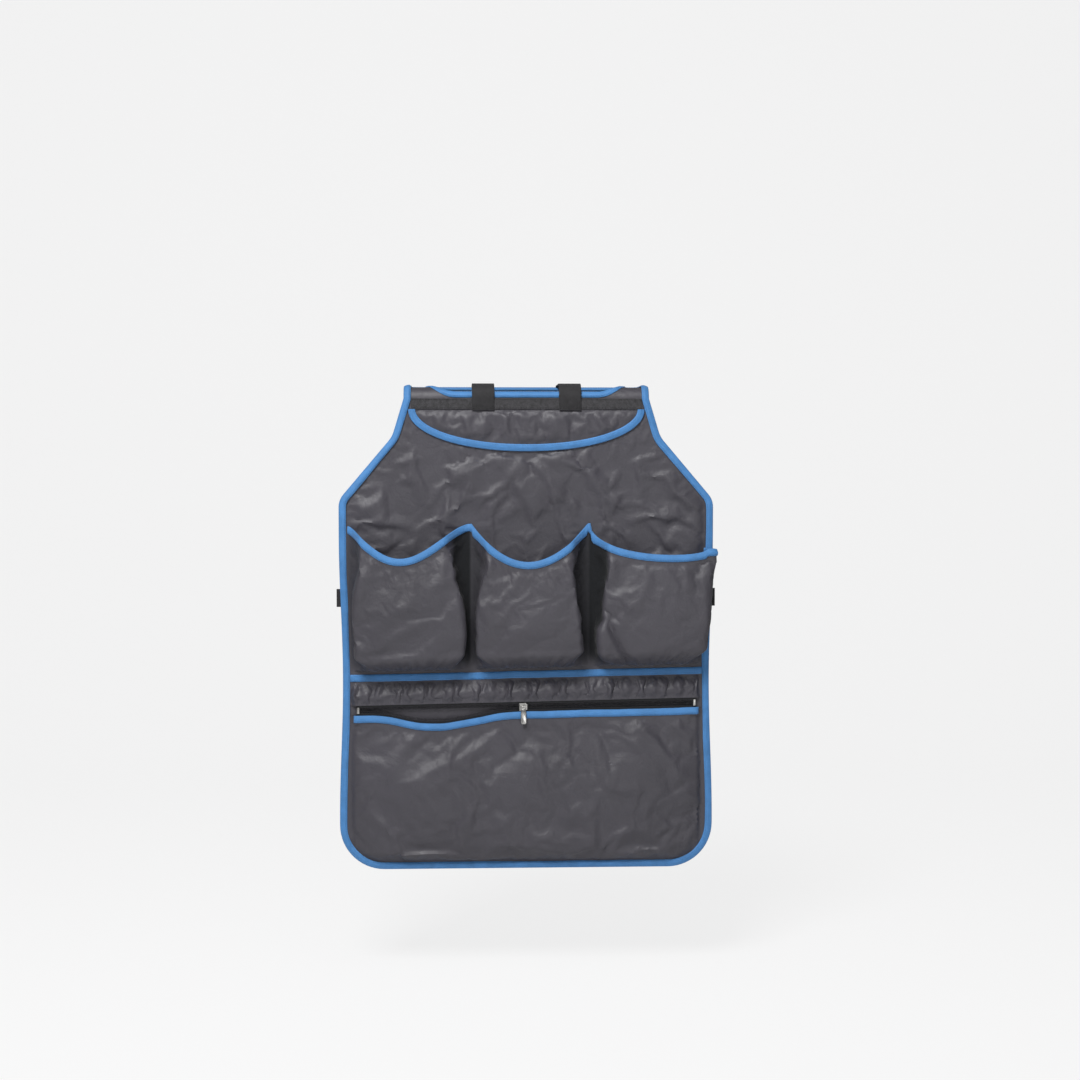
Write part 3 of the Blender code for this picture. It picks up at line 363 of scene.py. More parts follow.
bib = {
    "width": 0.4190, "drop": 0.5400, "neckWidth": 0.2740, "neckFootWidth": 0.2996,
    "neckFootDrop": 0.0545, "shoulderDrop": 0.1250, "neckRadius": 0.0300,
    "shoulderRadius": 0.0220, "cornerRadius": 0.0500, "waistPull": 0.0040,
    "waistTopDrop": 0.1650, "waistFootDrop": 0.4850, "foldRadius": 0.0120,
    "flapReach": 0.0520, "flapCornerRadius": 0.0150, "slotLength": 0.2140,
    "slotHalfDepth": 0.0280, "slotFoldDrop": 0.0080, "seatSetback": 0.0020,
    "seamRise": 1.1,          # degrees, both cross seams
    "cloth": 0.0008, "tape": 0.0006, "gap": 0.0003, "binding": 0.0080, "nose": 0.0010,
    "slotBinding": 0.0070, "facet": 0.0034,
    "arcStep": 6.0,           # degrees between the points of a rounded corner
    "puff": 0.0009,           # how far a binding's face swells
    "valleys": (-0.0630, 0.0700),                   # where the pockets are sewn down between them
    "threadInset": 0.0016, "threadStand": 0.00075,  # a binding's stitches: in from its edge, off its face
}
cloth, tape, gap, nose, binding = (bib[key] for key in ("cloth", "tape", "gap", "nose", "binding"))
threadInset, threadStand = bib["threadInset"], bib["threadStand"]
foldRadius = bib["foldRadius"]
foldLength = foldRadius * math.pi / 2
panelY = -bib["slotHalfDepth"] - bib["seatSetback"]
foldY = panelY + foldRadius
flapEnd = foldLength + bib["flapReach"] - foldY
slotBack = foldLength + bib["slotHalfDepth"] - foldY
halfBody = bib["width"] / 2
hem = cloth + gap + cloth / 2
raisedHem = hem + tape + gap
hemFront = hem + cloth / 2


def sideName(side):
    return "Left" if side < 0 else "Right"


def smooth(share):
    share = np.clip(share, 0.0, 1.0)
    return share * share * (3 - 2 * share)


# points of the cloth as it hangs, turns over the fold and lies along the seat's top
def lay(u, v, w):
    u, v, w = np.broadcast_arrays(np.asarray(u, float), v, w)
    turn = np.clip(v, 0.0, foldLength) / foldRadius
    reach = foldRadius + w
    y = foldY - reach * np.cos(turn) + np.maximum(v - foldLength, 0.0)
    z = reach * np.sin(turn) - foldRadius + np.minimum(v, 0.0)
    return np.stack([u, y, z], -1)


def along(drop):
    return foldRadius - drop


def halfWidthAt(z):
    share = (-z - bib["waistTopDrop"]) / (bib["waistFootDrop"] - bib["waistTopDrop"])
    return halfBody - bib["waistPull"] * np.sin(np.pi * np.clip(share, 0, 1)) ** 2


def seamZ(x, drop):
    return -drop + x * math.tan(math.radians(bib["seamRise"]))


# Outlines and flat cuts


# a closed outline through (x, y, radius) corners, each turned as an arc
def roundedOutline(corners):
    made = []
    for i, (x, y, radius) in enumerate(corners):
        corner = np.array((x, y))
        back = np.array(corners[i - 1][:2]) - corner
        ahead = np.array(corners[(i + 1) % len(corners)][:2]) - corner
        back, ahead = back / np.linalg.norm(back), ahead / np.linalg.norm(ahead)
        if radius == 0:
            made.append(corner)
            continue
        half = math.acos(float(np.dot(back, ahead))) / 2
        middle = (back + ahead) / np.linalg.norm(back + ahead)
        centre = corner + middle * radius / math.sin(half)
        start = corner + back * radius / math.tan(half) - centre
        finish = corner + ahead * radius / math.tan(half) - centre
        turn = math.pi - 2 * half
        side = math.copysign(1, start[0] * finish[1] - start[1] * finish[0])
        steps = max(2, math.ceil(math.degrees(turn) / bib["arcStep"]))
        for k in range(steps + 1):
            angle = side * turn * k / steps
            c, s = math.cos(angle), math.sin(angle)
            made.append(centre + (start[0] * c - start[1] * s, start[0] * s + start[1] * c))
    return np.array(made)


# the line with its long runs divided
def spaced(line, step):
    made = []
    for here, after in zip(line, np.roll(line, -1, 0)):
        parts = max(1, math.ceil(np.linalg.norm(after - here) / step))
        made += [here + (after - here) * k / parts for k in range(parts)]
    return np.array(made)


# at each point the vector that carries an anticlockwise line inwards by one
def inward(line):
    before, after = line - np.roll(line, 1, 0), np.roll(line, -1, 0) - line
    before = before / np.linalg.norm(before, axis=1, keepdims=True)
    after = after / np.linalg.norm(after, axis=1, keepdims=True)
    normal = np.stack([-before[:, 1] - after[:, 1], before[:, 0] + after[:, 0]], -1)
    normal = normal / np.linalg.norm(normal, axis=1, keepdims=True)
    tight = (normal * np.stack([-before[:, 1], before[:, 0]], -1)).sum(1)
    return normal / np.maximum(0.5, tight)[:, None]


def inset(line, distance):
    return line + inward(line) * distance


def insideOf(points, line):
    x, y = points[:, 0], points[:, 1]
    held = np.zeros(len(points), bool)
    for (ax, ay), (bx, by) in zip(np.roll(line, 1, 0), line):
        crossed = (ay > y) != (by > y)
        if ay != by:
            held ^= crossed & (x < (bx - ax) * (y - ay) / (by - ay) + ax)
    return held


# how far each point is from a closed line
def edgeDistance(points, line):
    nearest = np.full(len(points), 9.0)
    for a, b in zip(np.roll(line, 1, 0), line):
        run = b - a
        length = float((run * run).sum())
        if length < 1e-14:
            continue
        share = np.clip(((points - a) @ run) / length, 0, 1)[:, None]
        nearest = np.minimum(nearest, np.linalg.norm(points - a - run * share, axis=1))
    return nearest


# a flat cut of even triangles: its points and faces
def cutCloth(outline, holes=(), step=bib["facet"]):
    low, high = outline.min(0), outline.max(0)
    grid = []
    for i, y in enumerate(np.arange(low[1], high[1], step * 0.866)):
        xs = np.arange(low[0] + (i % 2) * step / 2, high[0], step)
        grid.append(np.stack([xs, np.full_like(xs, y)], -1))
    grid = np.concatenate(grid)
    grid = grid[insideOf(grid, outline)]
    for line in (outline, *holes):
        grid = grid[edgeDistance(grid, line) > step * 0.55]
    for hole in holes:
        grid = grid[~insideOf(grid, hole)]
    flat, loops = [], []
    for line in (outline, *holes):
        loops.append(list(range(len(flat), len(flat) + len(line))))
        flat += [Vector(p) for p in line]
    flat += [Vector(p) for p in grid]
    points, _, faces, _, _, within = delaunay_2d_cdt(flat, [], loops, 0, 1e-7)
    kept = np.array([face for face, held in zip(faces, within) if held == [0]])
    return np.array([tuple(p) for p in points]), kept


def bibOutline():
    right = [
        (halfBody, along(bib["drop"]), bib["cornerRadius"]),
        (halfBody, along(bib["shoulderDrop"]), bib["shoulderRadius"]),
        (bib["neckFootWidth"] / 2, along(bib["neckFootDrop"]), bib["neckRadius"]),
        (bib["neckWidth"] / 2, 0.0, 0),
        (bib["neckWidth"] / 2, flapEnd, bib["flapCornerRadius"]),
    ]
    left = [(-x, y, radius) for x, y, radius in reversed(right)]
    line = spaced(roundedOutline(right + left), 0.004)
    sides = np.abs(line[:, 0]) > halfBody - 1e-5
    line[sides, 0] = np.sign(line[sides, 0]) * halfWidthAt(line[sides, 1] - foldRadius)
    return line


def slotOutline():
    radius = (slotBack - bib["slotFoldDrop"]) / 2 - 0.0001
    half = bib["slotLength"] / 2
    corners = [
        (-half, bib["slotFoldDrop"], radius), (half, bib["slotFoldDrop"], radius),
        (half, slotBack, radius), (-half, slotBack, radius),
    ]
    return spaced(roundedOutline(corners), 0.003)


# Meshes


def triangles(faces):
    made = []
    for face in faces:
        for k in range(1, len(face) - 1):
            made.append((face[0], face[k], face[k + 1]))
    return np.array(made)


def pointNormals(points, faces):
    a, b, c = (points[faces[:, k]] for k in range(3))
    facing = np.cross(b - a, c - a)
    made = np.zeros_like(points)
    for k in range(3):
        np.add.at(made, faces[:, k], facing)
    return made / np.maximum(np.linalg.norm(made, axis=1, keepdims=True), 1e-12)


# makes the object, with its UV map in metres, its finish, its slot and its body
def finishMesh(name, points, faces, uv, finish):
    mesh = bpy.data.meshes.new(name)
    mesh.from_pydata([tuple(map(float, p)) for p in points], [], [tuple(map(int, f)) for f in faces])
    layer = mesh.uv_layers.new(name="cut")
    order = np.empty(len(mesh.loops), int)
    mesh.loops.foreach_get("vertex_index", order)
    layer.data.foreach_set("uv", np.asarray(uv, float)[order].ravel())
    shape = bmesh.new()
    shape.from_mesh(mesh)
    bmesh.ops.recalc_face_normals(shape, faces=shape.faces)
    shape.to_mesh(mesh)
    shape.free()
    mesh.shade_smooth()
    mesh.set_sharp_from_angle(angle=math.radians(50))
    mesh.materials.append(finish)
    made = placed(name, mesh)
    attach(made, "organizer")
    return made


# a sheet of even thickness about its middle points, with a closed rim
def clothObject(name, points, faces, uv, finish, thickness=cloth):
    faces = triangles(faces) if not isinstance(faces, np.ndarray) else faces
    normals = pointNormals(points, faces)
    count = len(points)
    both = np.concatenate([points + normals * thickness / 2, points - normals * thickness / 2])
    sides = {}
    for a, b, c in faces.tolist():
        for here, after in ((a, b), (b, c), (c, a)):
            sides[(here, after)] = True
    rim = [(a, b) for a, b in sides if (b, a) not in sides]
    solid = faces.tolist() + [(c + count, b + count, a + count) for a, b, c in faces.tolist()]
    solid += [(b, a, a + count, b + count) for a, b in rim]
    return finishMesh(name, both, solid, np.concatenate([uv, uv]), finish)


# joins like sections of points into a tape. Its UV runs along it and round it
def sweepTape(name, sections, finish, closed):
    sections = np.asarray(sections)
    runs, around = sections.shape[:2]
    steps = np.linalg.norm(np.diff(sections.mean(1), axis=0), axis=1)
    length = np.concatenate([[0.0], np.cumsum(steps)])
    girth = np.concatenate([[0.0], np.cumsum(np.linalg.norm(np.diff(sections[0], axis=0), axis=1))])
    uv = np.stack(np.meshgrid(length, girth, indexing="ij"), -1).reshape(-1, 2)
    faces = []
    spans = runs if closed else runs - 1
    for i in range(spans):
        here, there = i * around, (i + 1) % runs * around
        for k in range(around):
            after = (k + 1) % around
            faces.append((here + k, here + after, there + after, there + k))
    if not closed:
        faces += [tuple(range(around))[::-1], tuple(range((runs - 1) * around, runs * around))]
    return finishMesh(name, sections.reshape(-1, 3), faces, uv, finish)


# section of a tape folded over an edge: (in from the fold, out from the cloth's rear)
def foldedProfile(width, low, high):
    front, back = high + gap + tape, low - gap - tape
    radius, middle = (front - back) / 2, (front + back) / 2
    run = []
    for t in np.linspace(0, 1, 7)[:-1]:
        crown = bib["puff"] * math.sin(math.pi * min(1.0, t * 1.05)) ** 0.8 - 0.00025 * max(0.0, 1 - t * 5)
        run.append((width - (width - radius) * t, front + crown))
    for angle in np.linspace(math.pi / 2, 3 * math.pi / 2, 9):
        run.append((radius + radius * math.cos(angle), middle + radius * math.sin(angle)))
    run += [(radius + (width - radius) * t, back) for t in (0.33, 0.66, 1.0)]
    run += [(width - (width - nose) * t, low - gap) for t in (0, 0.5, 1)]
    run += [(nose + (width - nose) * t, high + gap) for t in (0, 0.5, 1)]
    return np.array(run)


# a slow drift along a tape, so that no edge is ruled
def wander(count, seed, size):
    return np.array([noise.noise(Vector((i * 0.11, seed * 7.3, 0.5))) for i in range(count)]) * size


# lays a folded tape along an edge. drift widens it a little here and there
def bindAlong(line, normals, profile, drift=0.0):
    sections = []
    for p, n, stray in zip(line, normals, np.broadcast_to(drift, len(line))):
        wide = profile[:, 0] * (1 + stray / binding)
        sections.append(lay(p[0] + n[0] * wide, p[1] + n[1] * wide, profile[:, 1]))
    return sections


# Folds pressed or pulled into the cloth: (x0, z0, x1, z1, half width, height, bow) in millimetres


def foldHeight(x, z, folds):
    total = np.zeros_like(x)
    for x0, z0, x1, z1, wide, high, bow in folds:
        x0, z0, x1, z1, wide, high, bow = (value / 1000 for value in (x0, z0, x1, z1, wide, high, bow))
        run = math.hypot(x1 - x0, z1 - z0)
        ax, az = (x1 - x0) / run, (z1 - z0) / run
        share = ((x - x0) * ax + (z - z0) * az) / run
        near = (share > -0.02) & (share < 1.02)
        t = share[near]
        across = (z[near] - z0) * ax - (x[near] - x0) * az - bow * np.sin(np.pi * np.clip(t, 0, 1))
        fade = smooth(t / 0.3) * smooth((1 - t) / 0.3)
        side = wide * np.where(across > 0, 1.35, 0.75)
        total[near] += high * fade * np.exp(-np.abs(across / side) ** 1.6)
    return total


# many small folds at random in a box. heading(x, z) gives their direction in degrees
def scatterFolds(heading, seed, count, box, spread, length, wide, high):
    chance = np.random.default_rng(seed)
    made = []
    for _ in range(count):
        x, z = chance.uniform(box[0], box[1]), chance.uniform(box[2], box[3])
        angle = math.radians(heading(x, z) + chance.normal(0, spread))
        reach = chance.uniform(*length) / 2
        dx, dz = math.cos(angle) * reach, math.sin(angle) * reach
        rise = chance.uniform(*high) * chance.choice((-1, 1), p=(0.42, 0.58))
        half = chance.uniform(*wide)
        made.append((x - dx, z - dz, x + dx, z + dz, half, rise, chance.normal(0, 0.12) * reach))
    return made


# Cloth that is a little too large for its seams, so that it buckles between them

buckling = {
    "frames": 22, "quality": 6, "mass": 0.12, "stretch": 14.0, "damping": 12.0, "airDamping": 3.0,
    "slide": 0.003,           # how far it may move aside
}
# how much too large each cloth is, its stiffness in bending, what pushes it out, and its way in and out
looseness = {
    "bib": {"grow": 0.040, "bend": 0.06, "push": 0.0, "inner": 0.0016, "outer": 0.0026},
    "yoke": {"grow": 0.035, "bend": 0.06, "push": 0.02, "inner": 0.0015, "outer": 0.0040},
    "pockets": {"grow": 0.020, "bend": 0.08, "push": 0.02, "inner": 0.0025, "outer": 0.0030},
    "gathers": {"grow": 0.05, "bend": 0.05, "push": 0.02, "inner": 0.0020, "outer": 0.0030},
    "largePocket": {"grow": 0.026, "bend": 0.08, "push": 0.01, "inner": 0.0018, "outer": 0.0024},
}
# small folds at random: box and sizes in millimetres, spread in degrees
smallFolds = {
    "bib": {"seed": 3, "count": 130, "box": (-195, 195, -250, -76), "spread": 22,
            "length": (22, 60), "wide": (2.5, 6.0), "high": (0.3, 1.2)},
    "yoke": {"seed": 9, "count": 60, "box": (-125, 125, -66, -20), "spread": 16,
             "length": (14, 34), "wide": (1.8, 4.2), "high": (0.2, 0.7)},
    "pockets": {"seed": 21, "count": 150, "box": (-200, 205, -312, -170), "spread": 28,
                "length": (14, 42), "wide": (2.0, 5.0), "high": (0.2, 0.8)},
    "largePocket": {"seed": 33, "count": 170, "box": (-198, 198, -534, -376), "spread": 24,
                    "length": (18, 60), "wide": (2.4, 6.0), "high": (0.2, 1.0)},
    "largePocketFoot": {"seed": 34, "count": 90, "box": (-185, 185, -528, -440), "spread": 30,
                        "length": (16, 46), "wide": (2.6, 6.5), "high": (0.4, 1.3)},
}


# lets the cloth buckle. hold is 1 where it is sewn
def settle(name, points, faces, hold):
    loose = looseness[name]
    mesh = bpy.data.meshes.new(name + "Trial")
    mesh.from_pydata([tuple(map(float, p)) for p in points], [], [tuple(map(int, f)) for f in faces])
    trial = placed(name + "Trial", mesh)
    group = trial.vertex_groups.new(name="sewn")
    for i, value in enumerate(hold):
        if value > 0.002:
            group.add([i], float(min(1.0, value)), "REPLACE")
    buckle = trial.modifiers.new("buckle", "CLOTH")
    given = buckle.settings
    given.quality = buckling["quality"]
    given.mass = buckling["mass"]
    given.air_damping = buckling["airDamping"]
    given.tension_stiffness = given.compression_stiffness = buckling["stretch"]
    given.shear_stiffness = buckling["stretch"] * 0.6
    given.tension_damping = given.compression_damping = given.shear_damping = buckling["damping"]
    given.bending_stiffness = loose["bend"]
    given.vertex_group_mass = "sewn"
    given.shrink_min = -loose["grow"]
    given.effector_weights.gravity = 0.0
    if loose["push"]:
        given.use_pressure = True
        given.uniform_pressure_force = loose["push"]
    buckle.point_cache.frame_start, buckle.point_cache.frame_end = 1, buckling["frames"]
    for moment in range(1, buckling["frames"] + 1):
        scene.frame_set(moment)
    settled = trial.evaluated_get(bpy.context.evaluated_depsgraph_get()).to_mesh()
    moved = np.empty(len(points) * 3)
    settled.vertices.foreach_get("co", moved)
    moved = moved.reshape(-1, 3)
    scene.frame_set(1)
    bpy.data.objects.remove(trial, do_unlink=True)
    normals = pointNormals(points, faces)
    change = np.nan_to_num(moved - points)
    out = (change * normals).sum(1)
    aside = change - normals * out[:, None]
    limit = np.where(out > 0, loose["outer"], loose["inner"])
    out = limit * np.tanh(out / limit)
    length = np.linalg.norm(aside, axis=1)
    slide = buckling["slide"]
    aside = aside * (np.tanh(length / slide) * slide / np.maximum(length, 1e-9))[:, None]
    print(f"{name} buckled: out {out.max() * 1000:.1f} mm, in {-out.min() * 1000:.1f} mm")
    return points + normals * out[:, None] + aside


# The yoke's sizes and its curved edge, which the bib's folds start from

yoke = {
    "topDrop": 0.0122, "curveDrop": 0.0240, "drop": 0.0708, "fullness": 2.1,
    "stripFootDrop": 0.0237, "tabSpacing": 0.0970, "tabWidth": 0.0250, "tabThickness": 0.0011,
    "tabFootDrop": 0.0248, "tabSeam": 0.0140, "tabRamp": 0.0060, "facet": 0.0028,
    "edgeHold": 0.005, "edgeRun": 0.010, "stripHold": 0.0255, "stripRun": 0.007, "swell": 0.0016,
    "pileLump": 0.0002, "pileSeamIn": 0.0012,
    "tabSeamIn": 0.0018, "tabFlat": 0.0070,
    "tabHeadRows": (0.0030, 0.0052), "tabFootRows": (0.0020, 0.0044),   # rows of stitches, in from each end
}
yokeBack = cloth + gap + tape + gap
yokeFront = yokeBack + cloth
stripBack = yokeFront + gap
stripFront = stripBack + cloth
tabBack = stripFront + gap


def neckInner(drop):
    spread = (bib["neckFootWidth"] - bib["neckWidth"]) / 2 * (drop - foldRadius)
    return bib["neckWidth"] / 2 + spread / (bib["neckFootDrop"] - foldRadius) - binding - gap


def yokeEdge(inwards):
    across = neckInner(yoke["curveDrop"]) - gap - inwards
    deep = yoke["drop"] - yoke["curveDrop"] - inwards
    angle = np.linspace(0, math.pi, 97)
    power = 2 / yoke["fullness"]
    swing = np.sign(-np.cos(angle)) * np.abs(np.cos(angle)) ** power
    fall = np.clip(np.sin(angle), 0, 1) ** power
    fall[0] = fall[-1] = 0
    return np.stack([across * swing, along(yoke["curveDrop"]) - deep * fall], -1)


# Back panel, its binding and the slot's binding

bibFolds = [
    (-2, -76, -60, -132, 7, 2.2, 6), (-6, -78, -112, -122, 9, 1.8, -8), (4, -78, 38, -136, 8, 2.4, 5),
    (14, -76, 92, -112, 8, 1.7, 6), (-40, -80, -30, -140, 9, -1.5, 4), (60, -84, 118, -140, 10, 1.5, -6),
    (-150, -112, -196, -146, 8, 1.5, 3), (-120, -96, -186, -126, 9, -1.4, 5),
    (150, -92, 196, -138, 9, 1.7, -4), (-90, -110, -96, -160, 10, 1.7, 4), (-20, -100, 8, -160, 7, 1.8, 8),
    (24, -104, 84, -158, 9, -1.7, 6), (-188, -150, -120, -158, 6, 1.4, 3),
    (104, -152, 180, -146, 7, 1.5, 4), (46, -116, 60, -164, 7, 1.8, 3), (-62, -90, -76, -128, 6, 1.2, 3),
    (120, -70, 128, -128, 8, 1.4, 4), (-128, -60, -134, -112, 8, 1.0, 3),
]
# where the cloth lies still: behind the pockets, behind the zip and at the pockets' inner seams
bibStill = {
    "edgeRun": 0.014, "hiddenShare": 0.25, "hiddenDrop": 0.300, "hiddenRun": 0.060,
    "zipDrop": 0.361, "zipHalf": 0.009, "zipRun": 0.020,
    "valleyDrop": 0.150, "valleyHalf": 0.007, "valleyRun": 0.018,
    "belly": 0.0012, "bellyDrop": 0.08, "bellyRun": 0.05,
    "yokeHold": 0.0005, "yokeRun": 0.008, "deepest": 0.0005,
}


def makeBib():
    outline, slot = bibOutline(), slotOutline()
    step = bib["facet"]
    flat, faces = cutCloth(spaced(inset(outline, nose + gap), step), [spaced(inset(slot, -nose - gap), step)])
    u, v = flat.T
    z = np.where(v < 0, v - foldRadius, 0.0)
    free = np.minimum(edgeDistance(flat, outline) - binding, edgeDistance(flat, slot) - bib["slotBinding"])
    free = smooth(free / bibStill["edgeRun"])
    above = [(halfBody, 0.0), (halfBody, flapEnd + 1), (-halfBody, flapEnd + 1), (-halfBody, 0.0)]
    sewn, hold = np.concatenate([yokeEdge(0.0), above]), bibStill["yokeHold"]
    loose = smooth((edgeDistance(flat, sewn) - hold) / bibStill["yokeRun"])
    free = free * np.where(insideOf(flat, sewn), 0.0, loose)
    still = bibStill["hiddenShare"]
    free = free * (still + (1 - still) * smooth((z + bibStill["hiddenDrop"]) / bibStill["hiddenRun"]))
    free = free * smooth((np.abs(z + bibStill["zipDrop"]) - bibStill["zipHalf"]) / bibStill["zipRun"])
    for valley in bib["valleys"]:
        away = np.hypot(u - valley, np.maximum(z + bibStill["valleyDrop"], 0))
        free = free * smooth((away - bibStill["valleyHalf"]) / bibStill["valleyRun"])
    small = scatterFolds(lambda x, zz: math.degrees(math.atan2(zz + 60, x)), **smallFolds["bib"])
    rise = foldHeight(u, z, bibFolds) + foldHeight(u, z, small)
    belly = bibStill["belly"] * smooth((-z - bibStill["bellyDrop"]) / bibStill["bellyRun"])
    w = cloth / 2 + free * np.maximum(belly + rise, -bibStill["deepest"])
    points = lay(u, v, w)
    points = settle("bib", points, faces, (1 - free) ** 2)
    front = (v < -0.002) & (free > 0)
    points[front, 1] = np.minimum(points[front, 1], panelY)
    panel = clothObject("backPanelCloth", points, faces, flat, nylon)
    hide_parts("back_panel")
    # the outer binding
    profile = foldedProfile(binding, 0.0, hemFront)
    normals = inward(outline)
    drift = wander(len(outline), 1, 0.0006)
    edge = sweepTape("edgeBindingTape", bindAlong(outline, normals, profile, drift), blueTape, True)
    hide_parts("edge_binding")
    seam = lay(*(outline + normals * (binding - threadInset)).T, hemFront + gap + tape + threadStand)
    # the slot's binding
    profile = foldedProfile(bib["slotBinding"], 0.0, cloth)
    hole = slot[::-1]
    normals = -inward(slot)[::-1]
    rim = sweepTape("slotBindingTape", bindAlong(hole, normals, profile), blueTape, True)
    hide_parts("slot_binding")
    slotSeam = lay(*(hole + normals * (bib["slotBinding"] - threadInset)).T, cloth + gap + tape + threadStand)
    return panel, edge, rim, outline, seam, slotSeam


panel, edgeTape, slotTape, bibLine, edgeSeam, slotSeam = makeBib()
print("bib and bindings ready")


# Yoke, touch-fastener strip and tabs

yokeFolds = [
    (-70, -26, -66, -64, 6, 1.5, 2), (-48, -24, -40, -66, 7, -1.3, 3), (-8, -24, -4, -68, 6, 1.7, 2),
    (30, -24, 24, -66, 7, 1.9, 3), (52, -26, 50, -66, 6, -1.3, -2), (78, -26, 84, -60, 7, 1.5, 3),
    (-104, -26, -96, -54, 6, 1.2, 2), (104, -28, 98, -52, 6, -1.1, 2), (8, -26, 14, -60, 5, -1.0, 2),
    (-26, -26, -28, -58, 5, 1.1, 1), (-86, -36, -40, -56, 8, 1.0, 3), (40, -54, 96, -40, 7, 1.0, 3),
]


def makeYoke():
    curve = yokeEdge(nose + gap)
    top, shoulder = along(yoke["topDrop"]), neckInner(yoke["topDrop"])
    outline = spaced(np.concatenate([[(shoulder, top), (-shoulder, top)], curve]), yoke["facet"])
    flat, faces = cutCloth(outline, step=yoke["facet"])
    u, v = flat.T
    z = np.where(v < 0, v - foldRadius, -v)
    near = edgeDistance(flat, outline)
    free = smooth((near - yoke["edgeHold"]) / yoke["edgeRun"])
    free = free * smooth((-z - yoke["stripHold"]) / yoke["stripRun"])
    small = scatterFolds(lambda x, zz: 90, **smallFolds["yoke"])
    rise = foldHeight(u, z, yokeFolds) + foldHeight(u, z, small)
    w = (yokeBack + yokeFront) / 2 + free * (yoke["swell"] + np.maximum(rise, -yoke["swell"]))
    points = settle("yoke", lay(u, v, w), faces, (1 - free) ** 2)
    made = clothObject("yokeCloth", points, faces, flat, nylon)
    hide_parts("yoke_panel")
    line = yokeEdge(0.0)
    ahead = np.gradient(line, axis=0)
    normals = np.stack([-ahead[:, 1], ahead[:, 0]], -1)
    normals = normals / np.linalg.norm(normals, axis=1, keepdims=True)
    normals[0], normals[-1] = (1, 0), (-1, 0)
    profile = foldedProfile(binding, yokeBack, yokeFront)
    edge = sweepTape("yokeBindingTape", bindAlong(line, normals, profile), blueTape, False)
    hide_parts("yoke_binding")
    seam = lay(*(line + normals * (binding - threadInset)).T, yokeFront + gap + tape + threadStand)
    return made, edge, seam[2:-2]


def gridFaces(rows, across):
    made = []
    for i in range(rows - 1):
        for k in range(across - 1):
            a = i * across + k
            made += [(a, a + across, a + across + 1), (a, a + across + 1, a + 1)]
    return np.array(made)


def makeLoopStrip():
    half = neckInner(yoke["topDrop"])
    u = np.linspace(-half, half, 161)
    v = np.linspace(along(yoke["topDrop"]), along(yoke["stripFootDrop"]), 9)
    uu, vv = np.meshgrid(u, v)
    lumps = np.array([noise.noise(Vector((a * 60, b * 60, 2.0))) for a, b in zip(uu.ravel(), vv.ravel())])
    w = (stripBack + stripFront) / 2 + 0.00025 + yoke["pileLump"] * lumps
    made = clothObject("loopStripPile", lay(uu.ravel(), vv.ravel(), w), gridFaces(9, 161),
                       np.stack([uu.ravel(), vv.ravel()], -1), pile)
    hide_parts("loop_strip")
    edgeIn = yoke["pileSeamIn"]
    lines = [lay(u[1:-1], np.full(159, level), stripFront + 0.0003)
             for level in (along(yoke["topDrop"]) - edgeIn, along(yoke["stripFootDrop"]) + edgeIn)]
    return made, lines


# a flat strap's section with soft edges: (across, out from its back)
def webbingProfile(width, thickness):
    half, r = width / 2, thickness / 2
    run = []
    for side in (1, -1):
        for angle in np.linspace(-90, 90, 5) if side > 0 else np.linspace(90, 270, 5):
            a = math.radians(angle)
            run.append((side * (half - r) + r * math.cos(a), r + r * math.sin(a)))
        if side > 0:
            run += [(half * t, thickness) for t in (0.5, 0, -0.5)]
    run += [(half * t, 0.0) for t in (-0.5, 0, 0.5)]
    return np.array(run)


def makeTab(side):
    name = sideName(side)
    middle = side * yoke["tabSpacing"] / 2
    foot, head = along(yoke["tabFootDrop"]), slotBack + yoke["tabSeam"]
    flatFrom = slotBack + yoke["tabFlat"]
    v = np.linspace(foot, head, 70)
    rise = smooth((flatFrom + yoke["tabRamp"] - v) / yoke["tabRamp"])
    back = cloth + gap + (tabBack - cloth - gap) * rise
    profile = webbingProfile(yoke["tabWidth"], yoke["tabThickness"])
    sections = [lay(middle + profile[:, 0], vv, b + profile[:, 1]) for vv, b in zip(v, back)]
    made = sweepTape(f"hookTab{name}", sections, webbing, False)
    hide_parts(f"hook_tab_{name.lower()}")
    lines = []
    half = yoke["tabWidth"] / 2 - yoke["tabSeamIn"]
    top = yoke["tabThickness"] + 0.00012
    seams = [(head - edge, cloth + gap) for edge in yoke["tabHeadRows"]]
    seams += [(foot + edge, tabBack) for edge in yoke["tabFootRows"]]
    for vv, under in seams:
        lines.append(lay(middle + np.linspace(-half, half, 12), vv, under + top))
    return made, lines


yokeCloth, yokeTape, yokeSeam = makeYoke()
loopStrip, loopSeams = makeLoopStrip()
tabLeft, tabLeftSeams = makeTab(-1)
tabRight, tabRightSeams = makeTab(1)
print("yoke, fastener strip and tabs ready")


# The pleated row of three pockets

